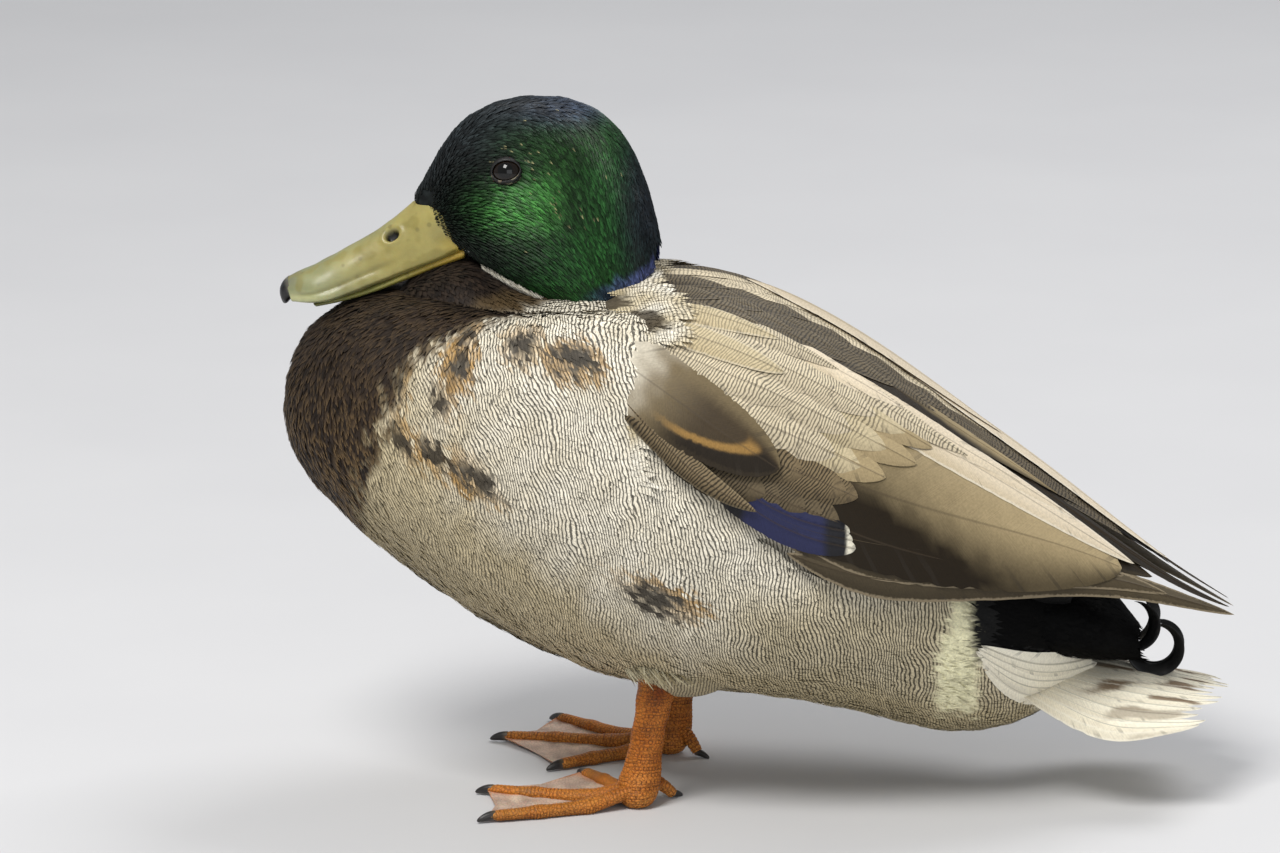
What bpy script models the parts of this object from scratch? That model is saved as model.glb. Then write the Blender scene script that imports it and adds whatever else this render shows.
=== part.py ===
"""Mallard drake, life size, standing with its head drawn down on its breast.

Metres in the scene, +Z up, bill toward -Y, the bird's left side toward +X, soles on Z = 0.
Profiles below are in millimetres, as (along Y, along Z) pairs unless a line says otherwise.
"""
import math

import bmesh
import bpy
import numpy as np

MM = 0.001
TAU = 2.0 * math.pi
GAP = 0.3

# ---- trunk: a fan of sections, from the neck opening round to the tail root -------------------
TRUNK_T = (0.0, 0.07, 0.16, 0.28, 0.42, 0.56, 0.70, 0.84, 0.94, 1.0)
TRUNK_BACK = ((-39.5, 168), (-27, 173), (-8, 172), (18, 161), (47, 141), (72, 119), (90, 100), (101, 84),
              (106, 74), (108, 64))
TRUNK_FRONT = ((-104, 168), (-119, 173), (-147, 164.4), (-162.8, 139), (-155.5, 108), (-118, 73.5),
               (-57, 41), (18, 30.6), (76, 19.6), (101, 27))
TRUNK_HALF_WIDTH = (27, 38, 50, 61, 67.5, 69.5, 65.5, 52, 34, 20)
TRUNK_FULLNESS = 2.03
TRUNK_KEEL = -0.05
TUCK_START = (-64.0, -47.0)
TUCK_FADE = 9.0
TUCK_CLEARANCE = 1.3
TRUNK_SECTIONS = 27
TRUNK_SIDES = 28

# ---- neck, collar and head ---------------------------------------------------------------------
NECK_CENTRE_Y = -71.0
NECK_HALF_LENGTH = 30.5
NECK_HALF_WIDTH = 24.5
NECK_FULLNESS = 2.2
COLLAR_BOTTOM = 168.4
COLLAR_TOP = 173.5
NECK_TOP = 196.0
NECK_TAPER = 0.88
NECK_SIDES = 20

HEAD_T = (0.0, 0.12, 0.26, 0.42, 0.58, 0.72, 0.84, 0.94, 1.0)
HEAD_TOP = ((-118.5, 203), (-113.2, 213.5), (-105, 226.5), (-91, 236.8), (-73, 239.8), (-57, 236),
            (-45, 224), (-37, 205), (-33.5, 191))
HEAD_BASE = ((-101.5, 188), (-95, 184.5), (-86, 180), (-75, 176), (-64, 173), (-54, 172), (-45, 173.5),
             (-38, 177), (-34.5, 183))
HEAD_HALF_WIDTH = (9.4, 13.0, 18.0, 22.0, 24.8, 25.6, 23.4, 17.5, 8.0)
HEAD_FULLNESS = 2.15
HEAD_CHEEK = 0.14
HEAD_SECTIONS = 16
HEAD_SIDES = 22

# ---- eyes --------------------------------------------------------------------------------------
EYE_CENTRE = (16.0, -84.0, 216.8)
EYE_RADIUS = 6.0
EYE_SEGMENTS = 14
EYE_RINGS = 8

# ---- bill --------------------------------------------------------------------------------------
BILL_T = (0.0, 0.18, 0.38, 0.58, 0.76, 0.90, 1.0)
BILL_RIDGE = ((-118.6, 202.6), (-126, 196.2), (-135, 190), (-144, 184.9), (-152, 180.4), (-158, 177.6),
              (-160.6, 176.4))
BILL_EDGE = ((-102.6, 188.6), (-111, 184.6), (-121, 180.3), (-132, 175.8), (-143, 171.4), (-152, 169.2),
             (-157, 168.8))
BILL_HALF_WIDTH = (9.2, 9.2, 8.9, 9.3, 10.2, 9.6, 6.4)
BILL_FULLNESS = 2.3
BILL_SECTIONS = 10
BILL_SIDES = 10
NAIL_RIDGE = ((-161.0, 176.2), (-163.6, 174.0), (-164.6, 170.6), (-163.6, 168.2))
NAIL_BASE = ((-157.6, 169.0), (-159.4, 167.8), (-161.2, 167.0), (-162.6, 167.4))
NAIL_HALF_WIDTH = (5.6, 4.8, 3.4, 1.2)
LOWER_T = (0.0, 0.3, 0.65, 1.0)
LOWER_TOP = ((-101.8, 188.2), (-115, 182.3), (-134, 173.9), (-154.6, 167.3))
LOWER_BASE = ((-101.2, 184.0), (-114, 178.6), (-134, 170.7), (-152.6, 165.8))
LOWER_HALF_WIDTH = (7.4, 7.4, 7.8, 5.4)
LOWER_SECTIONS = 6

# ---- folded wings: a roof over the back, given along Y ------------------------------------------
ROOF_Y = (-46, -20, 10, 40, 70, 100, 125, 148, 166)
ROOF_TOP = (181, 180, 170.5, 153.5, 132.5, 111, 92, 76, 66)
ROOF_HALF_WIDTH = (65, 72.5, 75, 72, 63, 49, 35, 21, 9)
ROOF_DROP = (64, 74, 76, 68, 52, 34, 18, 8, 4)
ROOF_FULLNESS = 2.15
WING_THICKNESS = (3.0, 4.0, 4.2, 4.0, 3.6, 3.0, 2.4, 1.8, 1.2)
# roof angle in degrees of each border between panels, against Y
RIDGE_BORDER = ((-46, 22), (0, 22), (40, 20), (70, 18), (100, 12), (126, 8), (166, 6))
SIDE_BORDER = ((-46, 44), (-36, 69), (-20, 77), (10, 77), (40, 79.5), (68, 82), (90, 76.5), (108, 64),
               (124, 40), (136, 24), (166, 10))
FLIGHT_BORDER = ((-16, 81), (10, 85), (32, 91), (66, 90), (100, 88), (130, 84), (150, 77), (166, 52))
BORDER_GAP = 0.5
BED_GAP = 1.4
# where each panel starts and ends along Y, at its upper and at its lower border
SCAPULARS = ((-36, 60), (-32, 33))
TERTIALS = ((60.6, 125), (33.6, 121))
SPECULUM = ((-13, 33), (-15, 31))
PRIMARIES = ((34, 160), (32, 165))
PANEL_ROWS = 9
PANEL_COLUMNS = 6

# ---- mantle between the wings ---------------------------------------------------------------------
MANTLE_SPAN = (-32.5, 112.0)
MANTLE_ROWS = 12

# ---- rump coverts, tail and curled feathers ----------------------------------------------------------
RUMP_T = (0.0, 0.4, 0.75, 1.0)
RUMP_BACK = ((110.8, 73), (117, 72), (124, 67), (128.4, 60))
RUMP_FRONT = ((106.4, 51), (114, 49.4), (122, 48), (127.4, 47))
RUMP_HALF_WIDTH = (21, 23, 20, 13)
RUMP_SECTIONS = 7
TAIL_Y = (84, 107, 124, 140, 156, 165)
TAIL_MID_Z = (47, 46, 43.4, 40, 37, 35.4)
TAIL_EDGE_DROP = (3, 15, 16.4, 11, 5.5, 2.4)
TAIL_HALF_WIDTH = (31, 37, 40, 40, 36, 24)
TAIL_THICKNESS = (4.4, 4.4, 3.8, 3.0, 2.2, 1.2)
TAIL_SECTIONS = 10
TAIL_COLUMNS = 10
RUMP_FULLNESS = 2.0
RUMP_SIDES = 20
TAIL_EDGE_THINNING = 0.5
CURL_WIDTH = 5.6
CURL_THICKNESS = 1.3
# front and rear pair: middle of the arc, distance from the mid-plane, radius, start and sweep
CURLS = {"front": ((129.6, 60.0), 11.0, 9.4, -70.0, 150.0),
         "rear": ((138.6, 50.6), 4.6, 9.2, -158.0, 275.0)}
CURL_SHRINK = 0.22
CURL_STEPS = 13
# width of a curl at its root, the swell along it and how far ahead of the root the swell starts
CURL_ROOT_SHARE = 0.55
CURL_SWELL = 0.45
CURL_LEAD = 0.25

# ---- legs ------------------------------------------------------------------------------------------
LEG_FOOT = {"left": (39.5, -36.0), "right": (-27.5, -31.0)}
LEG_TOP = {"left": (38.0, -31.0), "right": (-31.0, -25.0)}
LEG_LEVELS = (9.0, 13.0, 20.0, 28.0, 36.0, 44.0, 54.0)
LEG_HALF_FORE = (6.2, 5.8, 5.8, 6.0, 6.4, 6.8, 7.0)
LEG_HALF_SIDE = (4.6, 3.7, 3.3, 3.4, 4.2, 5.0, 5.4)
LEG_SIDES = 12
# toe tips beside the foot's centre: outer, middle and inner, as (X, Y)
TOE_TIPS = {"left": ((23.0, -50.0), (-9.5, -53.5), (-33.0, -22.0)),
            "right": ((-35.0, -43.0), (-8.5, -58.0), (26.0, -38.0))}
HALLUX_TIP = {"left": (-10.5, 10.5), "right": (5.0, 9.5)}
SOLE_HEIGHT = 8.6
SOLE_RADIUS = 6.6
TOE_HEIGHT = 4.6
TOE_HALF_WIDTH = 3.1
# places across a toe in half widths, with the share of the toe's height there
TOE_PROFILE = ((-1.0, 0.35), (-0.5, 0.85), (0.0, 1.0), (0.5, 0.85), (1.0, 0.35))
TOE_TIP_ROUND = 0.05
TOE_RIM_HEIGHT = 2.2
FOOT_HEART = 0.72
FOOT_FALL = 16.0
WEB_THICKNESS = 1.1
WEB_NOTCH = 0.16
FOOT_RINGS = 6
WEB_STEPS = 3
HEEL_STEPS = 5
CLAW_LENGTH = 6.4
CLAW_RADIUS = 1.5
CLAW_STEPS = 4
CLAW_SIDES = 6
CLAW_DROOP = 0.9
CLAW_TAPER = 0.80
CLAW_ROOT = 1.9
CLAW_SLOPE = -0.04
CLAW_GAP = 0.35
HALLUX_RADIUS = 2.6
HALLUX_LEAN = 0.7
HALLUX_ROOT = 5.6
HALLUX_FALL = 3.4
HIND_CLAW_SHIFT = 1.1
HIND_CLAW_ROOT = 1.3
HIND_CLAW_SLOPE = -0.22
HIND_CLAW_LENGTH = 4.6
HIND_CLAW_RADIUS = 1.1

# ---- colours and surface -----------------------------------------------------------------------------
FINISHES = {
    "green_plumage": ((0.020, 0.085, 0.035), 0.45),
    "white_plumage": ((0.62, 0.58, 0.50), 0.75),
    "breast_plumage": ((0.11, 0.075, 0.05), 0.75),
    "brown_plumage": ((0.14, 0.10, 0.06), 0.75),
    "tertial_plumage": ((0.26, 0.20, 0.13), 0.72),
    "speculum_plumage": ((0.025, 0.03, 0.13), 0.45),
    "primary_plumage": ((0.10, 0.085, 0.065), 0.70),
    "black_plumage": ((0.012, 0.012, 0.014), 0.60),
    "bill_horn": ((0.36, 0.35, 0.09), 0.38),
    "dark_horn": ((0.04, 0.04, 0.035), 0.35),
    "leg_skin": ((0.56, 0.17, 0.035), 0.50),
    "eye_gloss": ((0.012, 0.008, 0.006), 0.06),
}


def spline(knots, values, where):
    """Natural cubic through values given at knots; values may be rows of several numbers."""
    knots = np.asarray(knots, float)
    values = np.asarray(values, float).reshape(len(knots), -1)
    where = np.atleast_1d(np.asarray(where, float))
    step = np.diff(knots)
    slope = np.diff(values, axis=0) / step[:, None]
    count = len(knots)
    system = np.eye(count)
    right = np.zeros_like(values)
    for row in range(1, count - 1):
        system[row, row - 1] = step[row - 1]
        system[row, row] = 2.0 * (step[row - 1] + step[row])
        system[row, row + 1] = step[row]
        right[row] = 6.0 * (slope[row] - slope[row - 1])
    bend = np.linalg.solve(system, right)
    cell = np.clip(np.searchsorted(knots, where) - 1, 0, count - 2)
    width = step[cell][:, None]
    near = (where - knots[cell])[:, None]
    far = width - near
    cubic = (bend[cell] * far ** 3 + bend[cell + 1] * near ** 3) / (6.0 * width)
    cubic += (values[cell] / width - bend[cell] * width / 6.0) * far
    cubic += (values[cell + 1] / width - bend[cell + 1] * width / 6.0) * near
    return cubic if cubic.shape[1] > 1 else cubic[:, 0]


def squared(wave, fullness):
    """A sine or cosine drawn out toward a rounded square."""
    return np.sign(wave) * np.abs(wave) ** (2.0 / fullness)


def material(name):
    """The Principled finish of that name, made once."""
    made = bpy.data.materials.get(name)
    if made:
        return made
    colour, roughness = FINISHES[name]
    made = bpy.data.materials.new(name)
    made.use_nodes = True
    made.diffuse_color = (*colour, 1.0)
    shader = made.node_tree.nodes["Principled BSDF"]
    shader.inputs["Base Color"].default_value = (*colour, 1.0)
    shader.inputs["Roughness"].default_value = roughness
    shader.inputs["Metallic"].default_value = 0.0
    return made


def part_object(name, mesh, finish):
    """Put a mesh in the bird's collection under its own name and finish."""
    made = bpy.data.objects.new(name, mesh)
    mesh.materials.append(material(finish))
    BIRD.objects.link(made)
    return made


def loft(name, rings, finish, smooth=True):
    """Closed solid through equal rings of points in millimetres, with fan caps at both ends."""
    rings = np.asarray(rings, float) * MM
    shape = bmesh.new()
    grid = [[shape.verts.new(point) for point in ring] for ring in rings]
    sides = len(grid[0])
    for lower, upper in zip(grid, grid[1:]):
        for side in range(sides):
            after = (side + 1) % sides
            shape.faces.new((lower[side], lower[after], upper[after], upper[side]))
    for ring, points in ((grid[0], rings[0]), (grid[-1], rings[-1])):
        middle = shape.verts.new(points.mean(axis=0))
        for side in range(sides):
            shape.faces.new((ring[side], middle, ring[(side + 1) % sides]))
    bmesh.ops.recalc_face_normals(shape, faces=shape.faces)
    mesh = bpy.data.meshes.new(name)
    shape.to_mesh(mesh)
    shape.free()
    if smooth:
        mesh.shade_smooth()
    return part_object(name, mesh, finish)


def fan_rings(top, base, half_width, fullness, sides, cheek=0.0):
    """Sections spanned between a top and a base point in the mid-plane, bulging to half_width.

    A positive cheek moves the widest place toward the base.
    """
    turn = np.arange(sides) * TAU / sides
    rise = squared(np.cos(turn), fullness)
    reach = squared(np.sin(turn), fullness) * (1.0 - cheek * np.cos(turn))
    centre = 0.5 * (top + base)
    half = 0.5 * (top - base)
    rings = np.empty((len(top), sides, 3))
    rings[:, :, 0] = half_width[:, None] * reach
    rings[:, :, 1] = centre[:, 0:1] + half[:, 0:1] * rise
    rings[:, :, 2] = centre[:, 1:2] + half[:, 1:2] * rise
    return rings


def upright_ring(centre_x, centre_y, level, half_side, half_fore, sides, fullness=2.0):
    """One level ring of an upright limb or neck."""
    turn = np.arange(sides) * TAU / sides
    across = centre_x + half_side * squared(np.sin(turn), fullness)
    along = centre_y + half_fore * squared(np.cos(turn), fullness)
    return np.stack((across, along, np.full(sides, level)), axis=1)


def cut(target, cutter):
    """Take a closed solid away from another, and keep the cutter apart from the bird."""
    CUTTERS.objects.link(cutter)
    cutter.hide_render = True
    cutter.display_type = "WIRE"
    taken = target.modifiers.new("cut_" + cutter.name, "BOOLEAN")
    taken.operation = "DIFFERENCE"
    taken.solver = "EXACT"
    taken.object = cutter


def swollen(source, name, distance):
    """A copy of a solid moved outward by a distance in millimetres."""
    mesh = source.data.copy()
    mesh.name = name
    points = np.array([vertex.co for vertex in mesh.vertices])
    normals = np.array([vertex.normal for vertex in mesh.vertices])
    mesh.vertices.foreach_set("co", (points + normals * distance * MM).ravel())
    return bpy.data.objects.new(name, mesh)


def border(table, along):
    """Roof angle of a border at each place along Y."""
    table = np.asarray(table, float)
    return spline(table[:, 0], table[:, 1], along.ravel()).reshape(along.shape)


def tucked(points):
    """Points of the trunk drawn in under the folded wings, fading out ahead of and below them."""
    across, along, level = points[..., 0], points[..., 1], points[..., 2]
    flat = along.ravel()
    wide = spline(ROOF_Y, ROOF_HALF_WIDTH, flat).reshape(along.shape)
    drop = spline(ROOF_Y, ROOF_DROP, flat).reshape(along.shape)
    axis = spline(ROOF_Y, ROOF_TOP, flat).reshape(along.shape) - drop
    thick = spline(ROOF_Y, WING_THICKNESS, flat).reshape(along.shape)
    side = np.abs(across) / wide
    rise = (level - axis) / drop
    radius = (side ** ROOF_FULLNESS + np.abs(rise) ** ROOF_FULLNESS) ** (1.0 / ROOF_FULLNESS)
    angle = np.degrees(np.arctan2(side ** (ROOF_FULLNESS / 2.0),
                                  np.sign(rise) * np.abs(rise) ** (ROOF_FULLNESS / 2.0)))
    behind = np.clip((along - TUCK_START[0]) / (TUCK_START[1] - TUCK_START[0]), 0.0, 1.0)
    under = np.clip(1.0 - (angle - border(SIDE_BORDER, along)) / TUCK_FADE, 0.0, 1.0)
    inside = 1.0 - (thick + TUCK_CLEARANCE) / drop
    shrink = np.minimum(1.0, inside / np.maximum(radius, 0.5))
    shrink = 1.0 - (1.0 - shrink) * behind * under
    moved = points.copy()
    moved[..., 0] = across * shrink
    moved[..., 2] = np.where(rise > 0.0, axis + (level - axis) * shrink, level)
    return moved


def build_trunk():
    """Breast, belly and back in one solid; the wings lie on it."""
    where = np.linspace(0.0, 1.0, TRUNK_SECTIONS)
    back = spline(TRUNK_T, TRUNK_BACK, where)
    front = spline(TRUNK_T, TRUNK_FRONT, where)
    width = spline(TRUNK_T, TRUNK_HALF_WIDTH, where)
    rings = fan_rings(back, front, width, TRUNK_FULLNESS, TRUNK_SIDES, TRUNK_KEEL)
    return loft("trunk", tucked(rings), "breast_plumage")


def build_head():
    """The head from the bill's root to the nape, with a socket for each eye."""
    where = np.linspace(0.0, 1.0, HEAD_SECTIONS)
    top = spline(HEAD_T, HEAD_TOP, where)
    base = spline(HEAD_T, HEAD_BASE, where)
    width = spline(HEAD_T, HEAD_HALF_WIDTH, where)
    head = loft("head", fan_rings(top, base, width, HEAD_FULLNESS, HEAD_SIDES, HEAD_CHEEK), "green_plumage")
    return head


def build_eye(side, sign, head):
    """One eyeball and the socket it sits in."""
    place = (sign * EYE_CENTRE[0] * MM, EYE_CENTRE[1] * MM, EYE_CENTRE[2] * MM)
    for name, radius in (("eye_" + side, EYE_RADIUS), ("socket_" + side, EYE_RADIUS + GAP)):
        shape = bmesh.new()
        bmesh.ops.create_uvsphere(shape, u_segments=EYE_SEGMENTS, v_segments=EYE_RINGS, radius=radius * MM)
        mesh = bpy.data.meshes.new(name)
        shape.to_mesh(mesh)
        shape.free()
        mesh.shade_smooth()
        if name.startswith("eye"):
            made = part_object(name, mesh, "eye_gloss")
        else:
            made = bpy.data.objects.new(name, mesh)
            cut(head, made)
        made.location = place
        made.rotation_euler = (0.0, 0.5 * math.pi, 0.0)


def build_neck(head):
    """Drawn-in neck under the head, and the white collar at its root."""
    neck_rings = []
    for level in (COLLAR_TOP + GAP, 0.5 * (COLLAR_TOP + NECK_TOP), NECK_TOP):
        shrink = 1.0 - (1.0 - NECK_TAPER) * (level - COLLAR_TOP) / (NECK_TOP - COLLAR_TOP)
        neck_rings.append(upright_ring(0.0, NECK_CENTRE_Y, level, NECK_HALF_WIDTH * shrink,
                                       NECK_HALF_LENGTH * shrink, NECK_SIDES, NECK_FULLNESS))
    neck = loft("neck", neck_rings, "green_plumage")
    cut(neck, swollen(head, "head_clearance", GAP))
    collar_rings = [upright_ring(0.0, NECK_CENTRE_Y, level, NECK_HALF_WIDTH, NECK_HALF_LENGTH, NECK_SIDES,
                                 NECK_FULLNESS) for level in (COLLAR_BOTTOM, COLLAR_TOP)]
    collar = loft("collar", collar_rings, "white_plumage", smooth=False)
    cut(collar, swollen(head, "head_clearance_low", GAP))


def vault_rings(ridge, edge, half_width, fullness, sides):
    """Sections with a rounded top over a flat underside, for a bill."""
    turn = np.linspace(-0.5 * math.pi, 0.5 * math.pi, sides)
    rise = squared(np.cos(turn), fullness)
    reach = squared(np.sin(turn), fullness)
    rings = np.empty((len(ridge), sides, 3))
    rings[:, :, 0] = half_width[:, None] * reach
    for axis in (0, 1):
        rings[:, :, axis + 1] = edge[:, axis:axis + 1] + (ridge - edge)[:, axis:axis + 1] * rise
    return rings


def build_bill():
    """Upper bill, its nail and the lower bill."""
    where = np.linspace(0.0, 1.0, BILL_SECTIONS)
    ridge = spline(BILL_T, BILL_RIDGE, where)
    edge = spline(BILL_T, BILL_EDGE, where)
    width = spline(BILL_T, BILL_HALF_WIDTH, where)
    loft("bill_upper", vault_rings(ridge, edge, width, BILL_FULLNESS, BILL_SIDES), "bill_horn")
    nail_rings = vault_rings(np.array(NAIL_RIDGE), np.array(NAIL_BASE), np.array(NAIL_HALF_WIDTH),
                             BILL_FULLNESS, BILL_SIDES)
    loft("bill_nail", nail_rings, "dark_horn")
    where = np.linspace(0.0, 1.0, LOWER_SECTIONS)
    top = spline(LOWER_T, LOWER_TOP, where)
    base = spline(LOWER_T, LOWER_BASE, where)
    width = spline(LOWER_T, LOWER_HALF_WIDTH, where)
    loft("bill_lower", vault_rings(base, top, width, BILL_FULLNESS, BILL_SIDES), "bill_horn")


def roof_point(along, angle, lift):
    """Points of the folded wings' roof: angle in degrees from the ridge, lift inward in thicknesses."""
    top = spline(ROOF_Y, ROOF_TOP, along)
    wide = spline(ROOF_Y, ROOF_HALF_WIDTH, along)
    drop = spline(ROOF_Y, ROOF_DROP, along)
    thick = spline(ROOF_Y, WING_THICKNESS, along)
    turn = np.radians(angle)
    across = (wide - lift * thick) * squared(np.sin(turn), ROOF_FULLNESS)
    level = top - drop + (drop - lift * thick) * squared(np.cos(turn), ROOF_FULLNESS)
    return np.stack((across, along, level), axis=-1)


def panel(name, ends, upper, lower, sign, finish):
    """One thick panel of the roof between two borders and two slanting ends, closed all round."""
    row = np.linspace(0.0, 1.0, PANEL_ROWS)[:, None]
    column = np.linspace(0.0, 1.0, PANEL_COLUMNS)[None, :]
    start = ends[0][0] + (ends[1][0] - ends[0][0]) * column
    end = ends[0][1] + (ends[1][1] - ends[0][1]) * column
    along = start + (end - start) * row
    high = border(upper, along) + BORDER_GAP
    low = border(lower, along) - BORDER_GAP
    angle = high + (low - high) * column
    shape = (PANEL_ROWS, PANEL_COLUMNS, 3)
    outer = roof_point(along.ravel(), angle.ravel(), 0.0).reshape(shape)
    inner = roof_point(along.ravel(), angle.ravel(), 1.0).reshape(shape)
    rings = np.concatenate((outer, inner[:, ::-1]), axis=1)
    rings[:, :, 0] *= sign
    return loft(name, rings, finish, smooth=False)


def build_wing(side, sign, trunk):
    """One folded wing: scapulars bedded in the back, speculum, long inner feathers and flight feathers."""
    scapulars = panel("scapulars_" + side, SCAPULARS, RIDGE_BORDER, SIDE_BORDER, sign, "brown_plumage")
    cut(trunk, swollen(scapulars, "scapular_bed_" + side, BED_GAP))
    panel("tertials_" + side, TERTIALS, RIDGE_BORDER, SIDE_BORDER, sign, "tertial_plumage")
    panel("speculum_" + side, SPECULUM, SIDE_BORDER, FLIGHT_BORDER, sign, "speculum_plumage")
    panel("primaries_" + side, PRIMARIES, SIDE_BORDER, FLIGHT_BORDER, sign, "primary_plumage")


def build_mantle():
    """The strip of back feathers between the two wings."""
    along = np.linspace(*MANTLE_SPAN, MANTLE_ROWS)[:, None]
    share = np.linspace(-1.0, 1.0, PANEL_COLUMNS)[None, :]
    angle = share * (border(RIDGE_BORDER, along) - BORDER_GAP)
    place = np.broadcast_to(along, angle.shape)
    shape = (MANTLE_ROWS, PANEL_COLUMNS, 3)
    outer = roof_point(place.ravel(), angle.ravel(), 0.0).reshape(shape)
    inner = roof_point(place.ravel(), angle.ravel(), 1.0).reshape(shape)
    loft("mantle", np.concatenate((outer, inner[:, ::-1]), axis=1), "brown_plumage", smooth=False)


def build_tail(trunk):
    """Black coverts over the tail root, and the pale fan whose sides reach forward past the trunk."""
    where = np.linspace(0.0, 1.0, RUMP_SECTIONS)
    back = spline(RUMP_T, RUMP_BACK, where)
    front = spline(RUMP_T, RUMP_FRONT, where)
    width = spline(RUMP_T, RUMP_HALF_WIDTH, where)
    loft("rump_coverts", fan_rings(back, front, width, RUMP_FULLNESS, RUMP_SIDES), "black_plumage")
    along = np.linspace(TAIL_Y[0], TAIL_Y[-1], TAIL_SECTIONS)
    across = np.linspace(-1.0, 1.0, TAIL_COLUMNS)
    middle = spline(TAIL_Y, TAIL_MID_Z, along)[:, None]
    drop = spline(TAIL_Y, TAIL_EDGE_DROP, along)[:, None]
    wide = spline(TAIL_Y, TAIL_HALF_WIDTH, along)[:, None]
    thick = spline(TAIL_Y, TAIL_THICKNESS, along)[:, None]
    top = np.stack(np.broadcast_arrays(wide * across, along[:, None], middle - drop * across ** 2), axis=-1)
    base = top.copy()
    base[..., 2] -= thick * (1.0 - TAIL_EDGE_THINNING * across ** 2)
    tail = loft("tail", np.concatenate((top, base[:, ::-1]), axis=1), "white_plumage", smooth=False)
    cut(tail, swollen(trunk, "trunk_clearance_tail", GAP))


def build_curl(pair, side, sign):
    """One up-curled tail covert: a flat strip on an arc that closes toward its tip."""
    place, side_shift, radius, begin, sweep = CURLS[pair]
    rings = []
    for step in range(CURL_STEPS + 1):
        share = step / CURL_STEPS
        turn = math.radians(begin + sweep * share)
        reach = radius * (1.0 - CURL_SHRINK * share)
        wide = CURL_WIDTH * (CURL_ROOT_SHARE + CURL_SWELL * math.sin(math.pi * min(1.0, share + CURL_LEAD)))
        ring = []
        for offset, edge in ((0.5, -0.5), (0.5, 0.5), (-0.5, 0.5), (-0.5, -0.5)):
            out = reach + offset * CURL_THICKNESS
            ring.append((sign * side_shift + edge * wide, place[0] + out * math.cos(turn),
                         place[1] + out * math.sin(turn)))
        rings.append(ring)
    loft("curl_" + pair + "_" + side, rings, "black_plumage", smooth=False)


def build_leg(side, trunk):
    """Scaled shank from the foot up to the belly."""
    foot = np.array(LEG_FOOT[side])
    top = np.array(LEG_TOP[side])
    rings = []
    for level, fore, wide in zip(LEG_LEVELS, LEG_HALF_FORE, LEG_HALF_SIDE):
        share = (level - LEG_LEVELS[0]) / (LEG_LEVELS[-1] - LEG_LEVELS[0])
        centre = foot + (top - foot) * share
        rings.append(upright_ring(centre[0], centre[1], level, wide, fore, LEG_SIDES))
    leg = loft("leg_" + side, rings, "leg_skin")
    cut(leg, swollen(trunk, "trunk_clearance_" + side, GAP))


def toe_bearings(side):
    """Toe tips beside the foot's centre and their angles round it, in rising order."""
    tips = [np.array(tip) for tip in TOE_TIPS[side]]
    bearing = [math.atan2(tip[1], tip[0]) for tip in tips]
    if bearing[0] > bearing[2]:
        tips.reverse()
        bearing.reverse()
    return tips, bearing


def build_foot(side):
    """Webbed foot as one solid: three toes joined by thin webs, flat underneath."""
    tips, bearing = toe_bearings(side)
    lengths = [float(np.linalg.norm(tip)) for tip in tips]
    turns = []
    reaches = []
    crowns = []
    for toe, (turn, length) in enumerate(zip(bearing, lengths)):
        edge = TOE_HALF_WIDTH / length
        for offset, crown in TOE_PROFILE:
            turns.append(turn + offset * edge)
            reaches.append(length * (1.0 - TOE_TIP_ROUND * abs(offset)))
            crowns.append(crown)
        if toe == len(tips) - 1:
            continue
        after = bearing[toe + 1] - TOE_HALF_WIDTH / lengths[toe + 1]
        start = turn + edge
        for step in range(1, WEB_STEPS):
            share = step / WEB_STEPS
            turns.append(start + (after - start) * share)
            mean = length + (lengths[toe + 1] - length) * share
            reaches.append(mean * (1.0 - WEB_NOTCH * math.sin(math.pi * share)))
            crowns.append(0.0)
    first = turns[0]
    last = turns[-1]
    for step in range(1, HEEL_STEPS + 1):
        share = step / (HEEL_STEPS + 1)
        turns.append(last + (first + TAU - last) * share)
        reaches.append(SOLE_RADIUS)
        crowns.append(1.0)
    turns = np.array(turns)
    reaches = np.array(reaches)
    crowns = np.array(crowns)
    centre = np.array(LEG_FOOT[side])
    rings = []
    shares = np.linspace(0.0, 1.0, FOOT_RINGS + 1)[1:]
    heart = SOLE_RADIUS * FOOT_HEART
    base = []
    for share in shares:
        reach = heart + (reaches - heart) * (share - shares[0]) / (1.0 - shares[0])
        reach = np.where(reaches <= SOLE_RADIUS, np.minimum(reach, reaches), reach)
        fall = np.clip((reach - SOLE_RADIUS) / FOOT_FALL, 0.0, 1.0)
        toe_top = SOLE_HEIGHT + (TOE_HEIGHT - SOLE_HEIGHT) * fall
        web_top = SOLE_HEIGHT + (WEB_THICKNESS - SOLE_HEIGHT) * np.sqrt(fall)
        level = web_top + (toe_top - web_top) * crowns
        rim = share == shares[-1]
        edge = np.where(crowns > 0.0, TOE_RIM_HEIGHT, WEB_THICKNESS)
        level = np.where(rim, np.minimum(level, edge), level)
        east = centre[0] + reach * np.cos(turns)
        north = centre[1] + reach * np.sin(turns)
        ring = np.stack((east, north, level), axis=1)
        rings.append(ring)
        low = ring.copy()
        low[:, 2] = 0.0
        base.append(low)
    return loft("foot_" + side, rings + base[::-1], "leg_skin", smooth=False)


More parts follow.
